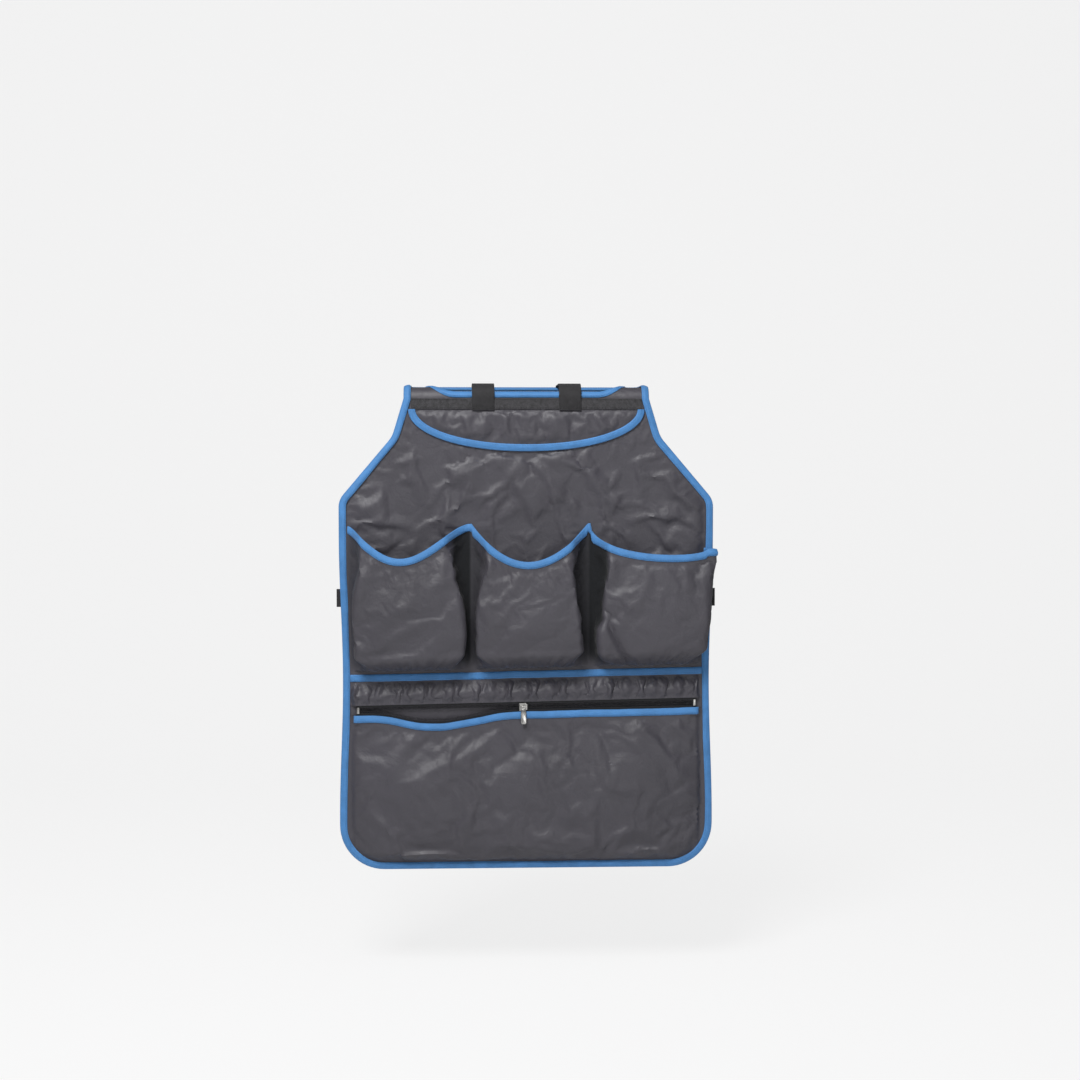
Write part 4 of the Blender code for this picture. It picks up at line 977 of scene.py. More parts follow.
pockets = {
    "valleys": bib["valleys"], "valleyHalf": 0.0015, "depth": 0.0380, "topDepth": 0.0330,
    "footDepth": 0.0353, "seamGap": 0.0022, "kink": 0.88, "roll": 0.0290, "hem": 0.0085,
    "peakDrop": 0.1530, "dividerDrop": 0.3209, "mouthRow": 0.0130,
    # left and right end drops of each mouth, its dip, where it is lowest and how sharp
    "mouths": ((0.1552, 0.1530, 0.0360, 0.44, 1.5), (0.1530, 0.1530, 0.0410, 0.48, 0.9),
               (0.1530, 0.1802, 0.0200, 0.33, 0.6)),
    # how far each pocket's front edges stand in from its seams: top, middle, foot
    "gussets": (((0.0150, 0.0050, 0.0040), (0.0260, 0.0080, 0.0050)),
                ((0.0165, 0.0060, 0.0045), (0.0190, 0.0120, 0.0060)),
                ((0.0190, 0.0110, 0.0050), (-0.0110, -0.0070, -0.0040))),
    "tuck": 0.0025,           # how far the pleat reaches in behind the front's edge
    # painted shade in the pleats, stronger where more shade falls: pocket, left 0 or right 2, strength and
    # share of the pleat
    "dark": ((0, 0, 0.35, 1.0), (0, 2, 1.0, 0.75), (1, 0, 0.55, 0.45), (1, 2, 0.75, 0.60),
             (2, 0, 1.0, 0.95), (2, 2, 0.3, 1.0)),
    "gatherStep": (0.008, 0.017), "gatherSize": (0.5, 1.6), "gatherWidth": 0.0032,   # size in mm
    "gussetColumns": 13, "frontColumns": 46, "bodyRows": 44, "rollRows": 12,
}
pocketFolds = [
    # left pocket
    (-176, -172, -170, -206, 4, 1.6, 1), (-150, -184, -146, -214, 4, -1.0, 1),
    (-100, -186, -92, -226, 4, 1.2, 2), (-112, -190, -106, -222, 4, -1.0, 1),
    (-90, -182, -80, -214, 4, 1.4, 2), (-84, -222, -74, -296, 6, 1.8, 3),
    (-182, -196, -188, -262, 6, 1.6, -2), (-168, -262, -110, -238, 12, 1.4, 6),
    (-190, -296, -150, -286, 7, 1.2, 3),
    # middle pocket
    (-46, -176, -40, -214, 4, 1.4, 2), (-34, -190, -26, -216, 4, -1.0, 1), (40, -182, 48, -226, 4, 1.5, 2),
    (22, -192, 30, -232, 5, 1.0, 2), (-50, -230, -44, -292, 6, 1.4, 2), (50, -236, 56, -290, 6, 1.4, 2),
    (-34, -284, 24, -268, 10, 1.4, 6), (-10, -214, 26, -244, 10, -1.0, 4),
    # right pocket
    (92, -178, 90, -222, 5, 1.6, 2), (108, -190, 110, -226, 4, -1.0, 2), (170, -186, 176, -230, 5, 1.3, 2),
    (92, -226, 116, -252, 8, 1.6, 3), (130, -198, 124, -240, 6, 1.0, 3), (190, -200, 196, -280, 7, 1.4, 2),
    (120, -296, 180, -284, 9, 1.2, 4), (184, -180, 190, -214, 4, -1.0, 2),
    (84, -250, 116, -318, 4, -5.0, 0), (80, -254, 90, -312, 6, 4.0, -2),
]


def between(values, share):
    top, middle, foot = values
    upper = top * (1 - share) * (1 - 2 * share)
    return upper + middle * 4 * share * (1 - share) + foot * share * (2 * share - 1)


# which pocket, stretch and share each column of the grid belongs to
def pocketColumns():
    g, f = pockets["gussetColumns"], pockets["frontColumns"]
    made = [(0, 3, -1.0), (0, 3, -0.6), (0, 3, -0.2)]
    for pocket in range(3):
        made += [(pocket, 0, i / g) for i in range(g)]
        made += [(pocket, 1, i / f) for i in range(f + 1)]
        made += [(pocket, 2, i / g) for i in reversed(range(g))]
    made += [(2, 3, 0.2), (2, 3, 0.6), (2, 3, 1.0)]
    return np.array(made)


# x and w of every column at height z
def pocketSection(columns, z, share, depth, foot):
    which, stretch, t = columns[:, 0].astype(int), columns[:, 1], columns[:, 2]
    end = halfWidthAt(z) - binding - pockets["seamGap"]
    seams = [v + s * pockets["valleyHalf"] for v in pockets["valleys"] for s in (-1, 1)]
    left = np.choose(which, [-end, seams[1] + 0 * end, seams[3] + 0 * end])
    right = np.choose(which, [seams[0] + 0 * end, seams[2] + 0 * end, end])
    insets = [[between(side, share) + 0 * end for side in pair] for pair in pockets["gussets"]]
    insetLeft = np.choose(which, [pair[0] for pair in insets])
    insetRight = np.choose(which, [pair[1] for pair in insets])
    kink = depth * pockets["kink"]
    # near the mouth the gusset lies open, and below it the pleat tucks in under the front
    tucked = smooth(share / 0.22)
    spread = foot + (kink - foot) * np.abs(t) ** 1.9
    under = foot + (kink - foot) * (0.30 * t * (1 - t) ** 2 + 1.6 * t * t * (1 - t) + t ** 3)
    gusset = spread + (under - spread) * tucked
    reach = t + (3 * t * (1 - t) ** 2 * 1.05 + 3 * t * t * (1 - t) * 1.15 + t ** 3 - t) * tucked
    tuck = pockets["tuck"] * tucked * 4 * t * (1 - t)
    front = kink + (depth - kink) * np.sin(np.pi * t)
    channel, leaving = halfWidthAt(z) - nose - 2 * gap, halfWidthAt(z) - binding
    side = np.sign(t) * (leaving + (channel - leaving) * (np.abs(t) - 0.2) / 0.8)
    x = np.select([stretch == 0, stretch == 1, stretch == 2],
                  [left + reach * insetLeft + tuck,
                   left + insetLeft + (right - insetRight - left - insetLeft) * t,
                   right - reach * insetRight - tuck], side)
    w = np.select([stretch == 1, stretch == 3], [front, hem + 0 * end], gusset)
    return x, w


def mouthDrops(columns):
    z = np.full(len(columns), -pockets["peakDrop"])
    x, _ = pocketSection(columns, z, 0.0, pockets["topDepth"], hem)
    end = halfWidthAt(z) - binding - pockets["seamGap"]
    a, b = pockets["valleys"]
    half = pockets["valleyHalf"]
    made = np.zeros(len(columns))
    for k, (left, right) in enumerate(((-end[0], a - half), (a + half, b - half), (b + half, end[0]))):
        start, finish, dip, lowest, sharp = pockets["mouths"][k]
        held = (x < a) if k == 0 else ((x >= a) & (x < b)) if k == 1 else (x >= b)
        s = np.clip((x[held] - left) / (right - left), 0, 1)
        skewed = s ** (math.log(0.5) / math.log(lowest))
        made[held] = start + (finish - start) * s + dip * np.clip(np.sin(np.pi * skewed), 0, 1) ** sharp
    return made


# rows of points on the cloth's middle, from the bound edges to the hem
def pocketGrid():
    columns = pocketColumns()
    drops = mouthDrops(columns)
    count = len(columns)
    peak = np.full(count, -pockets["peakDrop"])
    topX, topW = pocketSection(columns, peak, 0.0, pockets["topDepth"], raisedHem)
    rows = []
    for t in np.linspace(0, 1, 6):
        rows.append(np.stack([topX, topW, -drops - pockets["mouthRow"] * t], -1))
    start = -drops - pockets["mouthRow"]
    finish = seamZ(topX, pockets["dividerDrop"]) + pockets["roll"]
    depths = (pockets["topDepth"], pockets["depth"], pockets["footDepth"])
    for share in np.linspace(0, 1, pockets["bodyRows"])[1:]:
        z = start + (finish - start) * share
        foot = hem + (raisedHem - hem) * (1 - smooth(share / 0.22))
        x, w = pocketSection(columns, z, share, between(depths, share), foot)
        rows.append(np.stack([x, w, z], -1))
    low = rows[-1]
    g, f = pockets["gussetColumns"], pockets["frontColumns"]
    span = 2 * g + f + 1
    gathered = low[:, 0].copy()
    for pocket in range(3):
        first = 3 + pocket * span
        gathered[first:first + span] = np.linspace(low[first, 0], low[first + span - 1, 0], span)
    roll = pockets["roll"] - pockets["hem"]
    for turn in np.linspace(0, math.pi / 2, pockets["rollRows"] + 1)[1:]:
        x = low[:, 0] + (gathered - low[:, 0]) * smooth(math.sin(turn))
        w = hem + (low[:, 1] - hem) * math.cos(turn)
        z = seamZ(x, pockets["dividerDrop"]) + pockets["roll"] - roll * math.sin(turn)
        rows.append(np.stack([x, w, z], -1))
    last = rows[-1]
    for t in (0.5, 1.0):
        z = last[:, 2] + (seamZ(last[:, 0], pockets["dividerDrop"]) + gap - last[:, 2]) * t
        rows.append(np.stack([last[:, 0], np.full(count, hem), z], -1))
    grid = np.array(rows)
    # rounds the front edges, less so at the bound mouths
    held = np.zeros(count, bool)
    held[:4] = held[-4:] = True
    for pocket in range(3):
        held[3 + pocket * span] = held[2 + (pocket + 1) * span] = True
    for _ in range(5):
        soft = grid.copy()
        soft[:, 1:-1] = 0.5 * grid[:, 1:-1] + 0.25 * (grid[:, :-2] + grid[:, 2:])
        amount = np.full(len(grid), 0.9)
        amount[:6] = 0.25
        amount[6:14] = np.linspace(0.3, 0.9, 8)
        change = (soft - grid) * amount[:, None, None]
        change[:, held] = 0
        change[:6, :, 2] = 0
        grid = grid + change
    return columns, grid, span


def makePockets():
    columns, grid, span = pocketGrid()
    rows, count = grid.shape[:2]
    points = np.stack([grid[..., 0], panelY - grid[..., 1], grid[..., 2]], -1)
    faces = gridFaces(rows, count)
    down = np.concatenate([[0], np.cumsum(np.linalg.norm(np.diff(points[:, count // 2], axis=0), axis=1))])
    across = np.concatenate([[0], np.cumsum(np.linalg.norm(np.diff(points[20], axis=0), axis=1))])
    uv = np.stack(np.meshgrid(down, across, indexing="ij")[::-1], -1).reshape(-1, 2)
    flatPoints = points.reshape(-1, 3)
    normals = pointNormals(flatPoints, faces)
    x, z = flatPoints[:, 0], flatPoints[:, 2]
    # folds fade out at the seams, the side hems and under the mouth binding
    seam = np.zeros(count)
    for pocket in range(3):
        first = 3 + pocket * span
        t = np.arange(span)
        seam[first:first + span] = smooth(np.minimum(t, span - 1 - t) / 7)
    belowMouth = smooth((np.arange(rows) - 3) / 4)
    aboveHem = smooth((rows - 3 - np.arange(rows)) / 4)
    free = (belowMouth * aboveHem)[:, None] * seam[None, :]
    small = scatterFolds(lambda xx, zz: 90 if zz > -226 or zz < -292 else 60, **smallFolds["pockets"])
    rise = foldHeight(x, z, pocketFolds) + foldHeight(x, z, small)
    # gathers where the foot rolls under
    foot = smooth((pockets["rollRows"] + 4 - (rows - 1 - np.arange(rows))) / 8)
    gathers = np.zeros((rows, count))
    chance = np.random.default_rng(4)
    place = 0.0
    while place < across[-1]:
        place += chance.uniform(*pockets["gatherStep"])
        size = chance.uniform(*pockets["gatherSize"]) / 1000
        gathers += size * np.exp(-((across - place) / pockets["gatherWidth"]) ** 2)[None, :]
    rise = rise + (gathers * foot[:, None]).ravel()
    flatPoints = flatPoints + normals * (rise * free.ravel())[:, None]
    flatPoints = settle("pockets", flatPoints, faces, (1 - free.ravel()) ** 2)
    made = clothObject("pocketRowCloth", flatPoints, faces, uv, nylon)
    # painted shade for the finish: how dark each column is painted, more so deeper into a pleat, fading
    # towards the foot
    which, stretch, t = columns.T
    deep = np.zeros(count)
    for pocket, side, strength, end in pockets["dark"]:
        held = (which == pocket) & (stretch == side)
        deep[held] = strength * smooth((end + 0.10 - t[held]) / 0.25)
    deep = np.tile(deep, (rows, 1)) * smooth((rows - 4 - np.arange(rows)) / 10)[:, None]
    pleatShade = made.data.attributes.new("pleatShade", "FLOAT", "POINT")
    pleatShade.data.foreach_set("value", np.tile(deep.ravel(), 2))
    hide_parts("pocket_strip")
    # the binding along the mouths
    edge = points[0, 3:-3]
    run = np.gradient(edge, axis=0)
    level = np.hypot(run[:, 0], run[:, 1])
    slant = np.minimum(1.5, np.linalg.norm(run, axis=1) / np.maximum(level, 1e-6))
    out = np.stack([run[:, 1], -run[:, 0], 0 * level], -1) / np.maximum(level, 1e-9)[:, None]
    profile = foldedProfile(binding, -cloth / 2, cloth / 2)
    lift = nose + gap
    sections = []
    for p, n, s in zip(edge, out, slant):
        sections.append(p + n * profile[:, 1:] + np.outer((lift - profile[:, 0]) * s, (0, 0, 1)))
    tapeEdge = sweepTape("pocketBindingTape", sections, blueTape, False)
    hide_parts("pocket_strip_binding")
    stitch = edge + out * (cloth / 2 + gap + tape + threadStand)
    stitch = stitch + np.outer((lift - binding + threadInset) * slant, (0, 0, 1))
    return made, tapeEdge, [stitch[i * span + 2:(i + 1) * span - 2] for i in range(3)]


pocketRow, pocketTape, pocketSeams = makePockets()
print("pocket row ready")


# Divider tape, the gathered strip and the zip

zipper = {
    "drop": 0.3567, "endMargin": 0.0190, "coilEndMargin": 0.0035, "coilGap": 0.0006, "coilWidth": 0.0021,
    "coilThickness": 0.0022, "tape": 0.0005, "tapeReach": 0.0120, "standOff": 0.0045, "lineShow": 0.0029,
    "gatherDepth": 0.0050, "gatherStep": (0.009, 0.021), "gatherSize": (0.45, 1.0),
    "gatherWidth": (0.0022, 0.0050), "sag": 0.0105, "bow": 0.0030, "leftRun": 0.0720, "rightRun": 0.0920,
    "sliderX": -0.0040, "sliderLength": 0.0090, "sliderHeight": 0.0084, "sliderPlate": 0.0012,
    "toothPitch": 0.0015, "panelHem": 0.0095, "edgeDrop": 0.0052, "tapePlay": 0.00035,
    "stopLength": 0.0025, "stopHeight": 0.0070, "stopThickness": 0.0009,
    "dividerSeam": 0.0024,
    "dividerWidth": 0.0080, "dividerThickness": 0.0010,
}
zipHalf = halfBody - zipper["endMargin"]
coilHalf = zipHalf - zipper["coilEndMargin"]
tapeFront = zipper["standOff"] + zipper["tape"] / 2
stripMid = tapeFront + gap + cloth / 2
edgeMid = tapeFront + gap + tape + gap + cloth / 2
openFrom = -coilHalf + zipper["sliderLength"] + 2 * gap
openTo = zipper["sliderX"] - zipper["sliderLength"] / 2 - 2 * gap


def hang(x, z, w):
    x, z, w = np.broadcast_arrays(np.asarray(x, float), z, w)
    return np.stack([x, panelY - w, z], -1)


def sagAt(x):
    x = np.asarray(x, float)
    left = np.clip((x - openFrom) / zipper["leftRun"], 0, 1)
    right = np.clip((openTo - x) / zipper["rightRun"], 0, 1)
    return (0.5 - 0.5 * np.cos(math.pi * left)) * (0.5 - 0.5 * np.cos(math.pi * right))


def standOff(x, near, far, z):
    end = halfWidthAt(z) - zipper["panelHem"]
    return near + (far - near) * smooth((end - np.abs(x)) / (end - zipHalf - gap))


def lowerSide(x, rise, w):
    fall = sagAt(x)
    return hang(x, seamZ(x, zipper["drop"]) + rise - zipper["sag"] * fall, w + zipper["bow"] * fall)


def upperSide(x, rise, w):
    return hang(x, seamZ(x, zipper["drop"]) + rise, w)


def makeDivider():
    drop = pockets["dividerDrop"]
    end = halfWidthAt(-drop) - binding - gap
    x = np.linspace(-end, end, 160)
    back, half = hemFront + gap, zipper["dividerWidth"] / 2
    front = back + zipper["dividerThickness"]
    profile = [(half, back), (half - 0.0003, front - 0.0004), (half * 0.75, front - 0.00005),
               (half * 0.4, front + 0.0002)]
    profile += [(0, front + 0.0003)] + [(-rise, w) for rise, w in reversed(profile)]
    drift = wander(len(x), 5, 0.0007)
    sections = []
    for xx, stray in zip(x, drift):
        sections.append([hang(xx, seamZ(xx, drop) + rise + stray, w) for rise, w in profile])
    made = sweepTape("dividerTape", sections, blueTape, False)
    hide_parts("divider_binding")
    middle, seam = seamZ(x, drop) + drift, zipper["dividerSeam"]
    lines = [hang(x, middle + rise, front + 0.00015)[2:-2] for rise in (seam, -seam)]
    return made, lines


def makeGatheredStrip():
    across, down = 330, 26
    drop = pockets["dividerDrop"]
    end = halfWidthAt(-drop) - nose - 2 * gap
    x = np.linspace(-end, end, across)
    flatRise = zipper["tapeReach"] + gap
    footRise = zipper["coilGap"] + zipper["coilWidth"] + zipper["lineShow"]
    chance = np.random.default_rng(12)
    gather = np.zeros(across)
    place = -end
    while place < end:
        place += chance.uniform(*zipper["gatherStep"])
        size = chance.uniform(*zipper["gatherSize"])
        gather += size * np.exp(-((x - place) / chance.uniform(*zipper["gatherWidth"])) ** 2)
    rows = []
    for share in [-1, -0.5] + list(np.linspace(0, 1, down - 2)):
        top = seamZ(x, drop) - gap
        free = top - zipper["dividerWidth"] / 2 - gap
        foot = seamZ(x, zipper["drop"]) + footRise
        z = free + (foot - free) * share if share >= 0 else free + (top - free) * -share
        flat = seamZ(x, zipper["drop"]) + flatRise
        w = hem + (stripMid - hem) * smooth((free - z) / (free - flat))
        swell = math.sin(math.pi * max(0.0, share)) ** 1.2
        w = w + zipper["gatherDepth"] * gather * swell * 0.8
        shift = 0.0016 * np.sin(x * 210 + 2.4 * share) * swell
        rows.append(hang(x + shift, z, standOff(x, hem, w, z)))
    points = np.array(rows).reshape(-1, 3)
    faces = gridFaces(down, across)
    level = np.array([1, 1, 1] + list(smooth(np.abs(np.linspace(-1, 1, down - 3)) ** 3)))
    ends = 1 - smooth((end - np.abs(x) - 0.008) / 0.012)
    level = np.maximum(level[:, None], ends[None, :]).ravel()
    points = settle("gathers", points, faces, level)
    uv = np.stack([np.tile(x, down), points[:, 2]], -1)
    made = clothObject("gatheredStripCloth", points, faces, uv, nylon)
    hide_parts("zip_strip")
    return made


def makeZipTapes():
    near, far = zipper["coilGap"] + zipper["coilWidth"] + gap, zipper["tapeReach"]
    for name, side, place in (("Upper", 1, upperSide), ("Lower", -1, lowerSide)):
        x = np.linspace(-zipHalf, zipHalf, 260)
        rows = [place(x, side * rise, zipper["standOff"]) for rise in np.linspace(near, far, 6)]
        uv = np.stack([np.tile(x, 6), np.repeat(np.linspace(near, far, 6), 260)], -1)
        piece = clothObject(f"zipTape{name}", np.array(rows).reshape(-1, 3), gridFaces(6, 260), uv, blackTape,
                            zipper["tape"])
        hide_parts(f"zip_tape_{name.lower()}")


# Geometry Nodes: one small unit repeated along a path


# places a unit along every path: a thread stitch or a zip tooth
def pathTree(name, unit):
    tree = bpy.data.node_groups.new(name, "GeometryNodeTree")
    face = tree.interface
    face.new_socket(name="Geometry", in_out="OUTPUT", socket_type="NodeSocketGeometry")
    face.new_socket(name="Geometry", in_out="INPUT", socket_type="NodeSocketGeometry")
    for label, value in (("Pitch", 0.003), ("Length", 0.002), ("Width", 0.0005), ("Height", 0.0005)):
        face.new_socket(name=label, in_out="INPUT", socket_type="NodeSocketFloat").default_value = value
    face.new_socket(name="Finish", in_out="INPUT", socket_type="NodeSocketMaterial")
    given = addNode(tree, "NodeGroupInput").outputs
    curve = addNode(tree, "GeometryNodeMeshToCurve", {"Mesh": given["Geometry"]})
    dots = addNode(tree, "GeometryNodeCurveToPoints", {"Curve": curve.outputs[0], "Length": given["Pitch"]},
                   mode="LENGTH")
    aimed = addNode(tree, "FunctionNodeAlignRotationToVector", {"Vector": dots.outputs["Tangent"]}, axis="X")
    faced = addNode(tree, "FunctionNodeAlignRotationToVector",
                    {"Rotation": aimed.outputs[0], "Vector": (0.0, -1.0, 0.0)}, axis="Z", pivot_axis="X")
    size = addNode(tree, "ShaderNodeCombineXYZ",
                   {"X": given["Length"], "Y": given["Width"], "Z": given["Height"]})
    if unit == "stitch":
        shape = addNode(tree, "GeometryNodeMeshUVSphere", {"Segments": 6, "Rings": 5, "Radius": 0.5})
    else:
        shape = addNode(tree, "GeometryNodeMeshUVSphere", {"Segments": 8, "Rings": 4, "Radius": 0.58})
    grown = addNode(tree, "GeometryNodeTransform",
                    {"Geometry": shape.outputs["Mesh"], "Scale": size.outputs[0]})
    inputs = {"Points": dots.outputs["Points"], "Instance": grown.outputs[0], "Rotation": faced.outputs[0]}
    row = addNode(tree, "GeometryNodeInstanceOnPoints", inputs)
    real = addNode(tree, "GeometryNodeRealizeInstances", {"Geometry": row.outputs[0]})
    soft = addNode(tree, "GeometryNodeSetShadeSmooth", {"Geometry": real.outputs[0]})
    done = addNode(tree, "GeometryNodeSetMaterial",
                   {"Geometry": soft.outputs[0], "Material": given["Finish"]})
    result = addNode(tree, "NodeGroupOutput")
    tree.links.new(done.outputs[0], result.inputs[0])
    return tree


# what the seams look like from behind
def rearSeams():
    back = -0.00022
    lines = []
    for valley in pockets["valleys"]:
        z = np.linspace(-pockets["peakDrop"] - 0.004, float(seamZ(valley, pockets["dividerDrop"])), 60)
        lines.append(hang(np.full(60, valley), z, back))
    for drop, end in ((pockets["dividerDrop"], halfBody - 0.014), (zipper["drop"] - 0.0095, zipHalf)):
        x = np.linspace(-end, end, 150)
        lines.append(hang(x, seamZ(x, drop), back))
    line = yokeEdge(binding - threadInset)[3:-3]
    lines.append(lay(line[:, 0], line[:, 1], back))
    return lines


stitchTree = pathTree("threadStitches", "stitch")
toothTree = pathTree("zipTeeth", "tooth")


# runs a path tree over the lines and keeps the result as a plain mesh
def runAlong(name, lines, tree, values, finish, closed=False):
    points, edges = [], []
    for line in lines:
        first = len(points)
        points += [tuple(p) for p in line]
        edges += [(first + i, first + i + 1) for i in range(len(line) - 1)]
        if closed:
            edges.append((len(points) - 1, first))
    mesh = bpy.data.meshes.new(name + "Path")
    mesh.from_pydata(points, edges, [])
    path = placed(name + "Path", mesh)
    nodes = path.modifiers.new("repeat", "NODES")
    nodes.node_group = tree
    for item in tree.interface.items_tree:
        if item.in_out == "INPUT" and item.name in values:
            nodes[item.identifier] = values[item.name]
        if item.in_out == "INPUT" and item.name == "Finish":
            nodes[item.identifier] = finish
    plain = bpy.data.meshes.new_from_object(path.evaluated_get(bpy.context.evaluated_depsgraph_get()))
    plain.name = name
    bpy.data.objects.remove(path, do_unlink=True)
    made = placed(name, plain)
    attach(made, "organizer")
    return made


stitches = {"Pitch": 0.0030, "Length": 0.0023, "Width": 0.00055, "Height": 0.00042}
teeth = {"Pitch": zipper["toothPitch"], "Length": 0.00085, "Width": 0.0027, "Height": 0.0022}


def makeTeeth():
    middle = zipper["coilGap"] + zipper["coilWidth"] / 2 - 0.0003
    for name, side, place, shift in (("Upper", 1, upperSide, 0.0), ("Lower", -1, lowerSide, 0.5)):
        x = np.linspace(-coilHalf + shift * zipper["toothPitch"], coilHalf, 380)
        line = place(x, side * middle, zipper["standOff"])
        piece = runAlong(f"zipCoil{name}", [line], toothTree, teeth, coilPlastic)
        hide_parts(f"zip_coil_{name.lower()}")


divider, dividerSeams = makeDivider()
gathered = makeGatheredStrip()
makeZipTapes()
makeTeeth()
print("divider, gathered strip and zip ready")


# Slider, pull and end stops


def zipPlace(x):
    rise = math.radians(bib["seamRise"])
    origin = Vector(hang(x, seamZ(x, zipper["drop"]), 0.0))
    run = Vector((math.cos(rise), 0, math.sin(rise)))
    up = Vector((-math.sin(rise), 0, math.cos(rise)))
    return origin, run, up, Vector((0, -1, 0))


def joinRings(shape, lower, upper):
    for i in range(len(lower)):
        j = (i + 1) % len(lower)
        shape.faces.new((lower[i], lower[j], upper[j], upper[i]))


def metalPiece(name, shape, body):
    bmesh.ops.recalc_face_normals(shape, faces=shape.faces)
    mesh = bpy.data.meshes.new(name)
    shape.to_mesh(mesh)
    shape.free()
    mesh.shade_smooth()
    mesh.set_sharp_from_angle(angle=math.radians(40))
    mesh.materials.append(nickel)
    made = placed(name, mesh)
    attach(made, body)
    return made


# castings from boxes (low, high) along, up and out from the zip's line, with soft edges
def bevelled(name, parts, x, body, bevel, extra=()):
    origin, run, up, out = zipPlace(x)
    shape = bmesh.new()
    for low, high in parts:
        cube = bmesh.ops.create_cube(shape, size=1.0)["verts"]
        for v in cube:
            v.co = Vector([low[i] + (high[i] - low[i]) * (v.co[i] + 0.5) for i in range(3)])
        edges = {e for v in cube for e in v.link_edges}
        bmesh.ops.bevel(shape, geom=list(edges), offset=bevel, segments=2, profile=0.6, affect="EDGES")
    for outline, low, high in extra:
        lower = [shape.verts.new((a, b, low)) for a, b in outline]
        upper = [shape.verts.new((a, b, high)) for a, b in outline]
        shape.faces.new(lower[::-1])
        top = shape.faces.new(upper)
        joinRings(shape, lower, upper)
        bmesh.ops.bevel(shape, geom=list(top.edges), offset=bevel, segments=3, profile=0.6, affect="EDGES")
    for v in shape.verts:
        v.co = origin + run * v.co.x + up * v.co.y + out * v.co.z
    return metalPiece(name, shape, body)


def makeSlider():
    half, tall = zipper["sliderLength"] / 2, zipper["sliderHeight"] / 2
    innerBack = zipper["standOff"] - zipper["coilThickness"] / 2 - gap
    innerFront = zipper["standOff"] + zipper["coilThickness"] / 2 + gap
    face = innerFront + zipper["sliderPlate"]
    post = zipper["coilGap"] - gap
    slot = zipper["tape"] / 2 + zipper["tapePlay"]
    flange = zipper["coilGap"] + zipper["coilWidth"] + 2 * gap
    # a shield shape: broad where the two sides part, narrower where they have closed
    shield = []
    for t in np.linspace(0, 1, 9):
        shield.append((-half + 2 * half * t, tall * (1 - 0.30 * t ** 2)))
    for t in np.linspace(1, 0, 9):
        shield.append((-half + 2 * half * t, -tall * (1 - 0.30 * t ** 2)))
    boxes = [((-half, -post, innerBack - 0.0003), (-half / 2, post, innerFront + 0.0003))]
    for side in (-1, 1):
        low, high = sorted((side * flange, side * tall * 0.98))
        boxes.append(((-half, low, zipper["standOff"] + slot), (half * 0.7, high, innerFront + 0.0006)))
        boxes.append(((-half, low, innerBack - 0.0006), (half * 0.7, high, zipper["standOff"] - slot)))
        low, high = sorted((side * 0.0025, side * 0.0035))
        boxes.append(((low, -0.0007, face - 0.0006), (high, 0.0007, face + 0.0019 + 0.0007)))
    boxes.append(((-0.0030, -0.0004, face + 0.0015), (0.0030, 0.0004, face + 0.0023)))
    made = bevelled("zipSlider", boxes, zipper["sliderX"], "slider", 0.00018,
                    [(shield, innerFront, face), (shield, innerBack - zipper["sliderPlate"], innerBack)])
    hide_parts("zip_slider")
    return made


pull = {"width": 0.0062, "length": 0.0190, "thickness": 0.0010, "tilt": 10.0, "eyeBore": 0.0008,
        "eyeRadius": 0.0014, "eyeLength": 0.0044, "bridgeStand": 0.0019,
        "footRadius": 0.0030, "footCorner": 0.0022, "rim": 0.0002}


# a stamped plate with a rolled eye, a waist below it and a rounded foot
def makePull():
    origin, run, up, out = zipPlace(zipper["sliderX"])
    face = zipper["standOff"] + zipper["coilThickness"] / 2 + gap + zipper["sliderPlate"]
    pivot = origin + out * (face + pull["bridgeStand"])
    tilt = math.radians(pull["tilt"])
    down = -up * math.cos(tilt) + out * math.sin(tilt)
    front = out * math.cos(tilt) + up * math.sin(tilt)
    shape = bmesh.new()
    # the plate's outline, from under the eye to the rounded foot
    neck, wide, length = pull["eyeLength"] / 2, pull["width"] / 2, pull["length"]
    bend, corner, rim = pull["footRadius"], pull["footCorner"], pull["rim"]
    side = [(0.0009, neck), (0.0030, neck), (0.0052, wide * 0.92), (0.0080, wide), (length - bend, wide)]
    for a in np.linspace(0.3, 1.5, 5):
        side.append((length - bend + bend * math.sin(a), wide - corner + corner * math.cos(a)))
    outline = side + [(a, -b) for a, b in reversed(side)]
    half = pull["thickness"] / 2
    rings = []
    for depth, shrink in ((-half, rim), (-half + rim, 0.0), (half - rim, 0.0), (half, rim)):
        ring = []
        for a, b in outline:
            squeeze = 1 - shrink / wide
            inner = 0.010 + (a - 0.010) * squeeze
            ring.append(shape.verts.new(pivot + down * inner + run * b * squeeze + front * depth))
        rings.append(ring)
    shape.faces.new(rings[0])
    shape.faces.new(rings[-1][::-1])
    for lower, upper in zip(rings, rings[1:]):
        joinRings(shape, lower, upper)
    # the rolled eye round the slider's bridge
    ends = []
    for s in (-1, 1):
        for radius in (pull["eyeRadius"], pull["eyeBore"]):
            ends.append([shape.verts.new(pivot + run * s * pull["eyeLength"] / 2
                                         + down * radius * math.cos(a) + front * radius * math.sin(a))
                         for a in np.linspace(0, 2 * math.pi, 25)[:-1]])
    outerLow, boreLow, outerHigh, boreHigh = ends
    joinRings(shape, outerLow, outerHigh)
    joinRings(shape, boreHigh, boreLow)
    joinRings(shape, boreLow, outerLow)
    joinRings(shape, outerHigh, boreHigh)
    made = metalPiece("zipPull", shape, "pull")
    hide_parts("zip_pull")
    return made


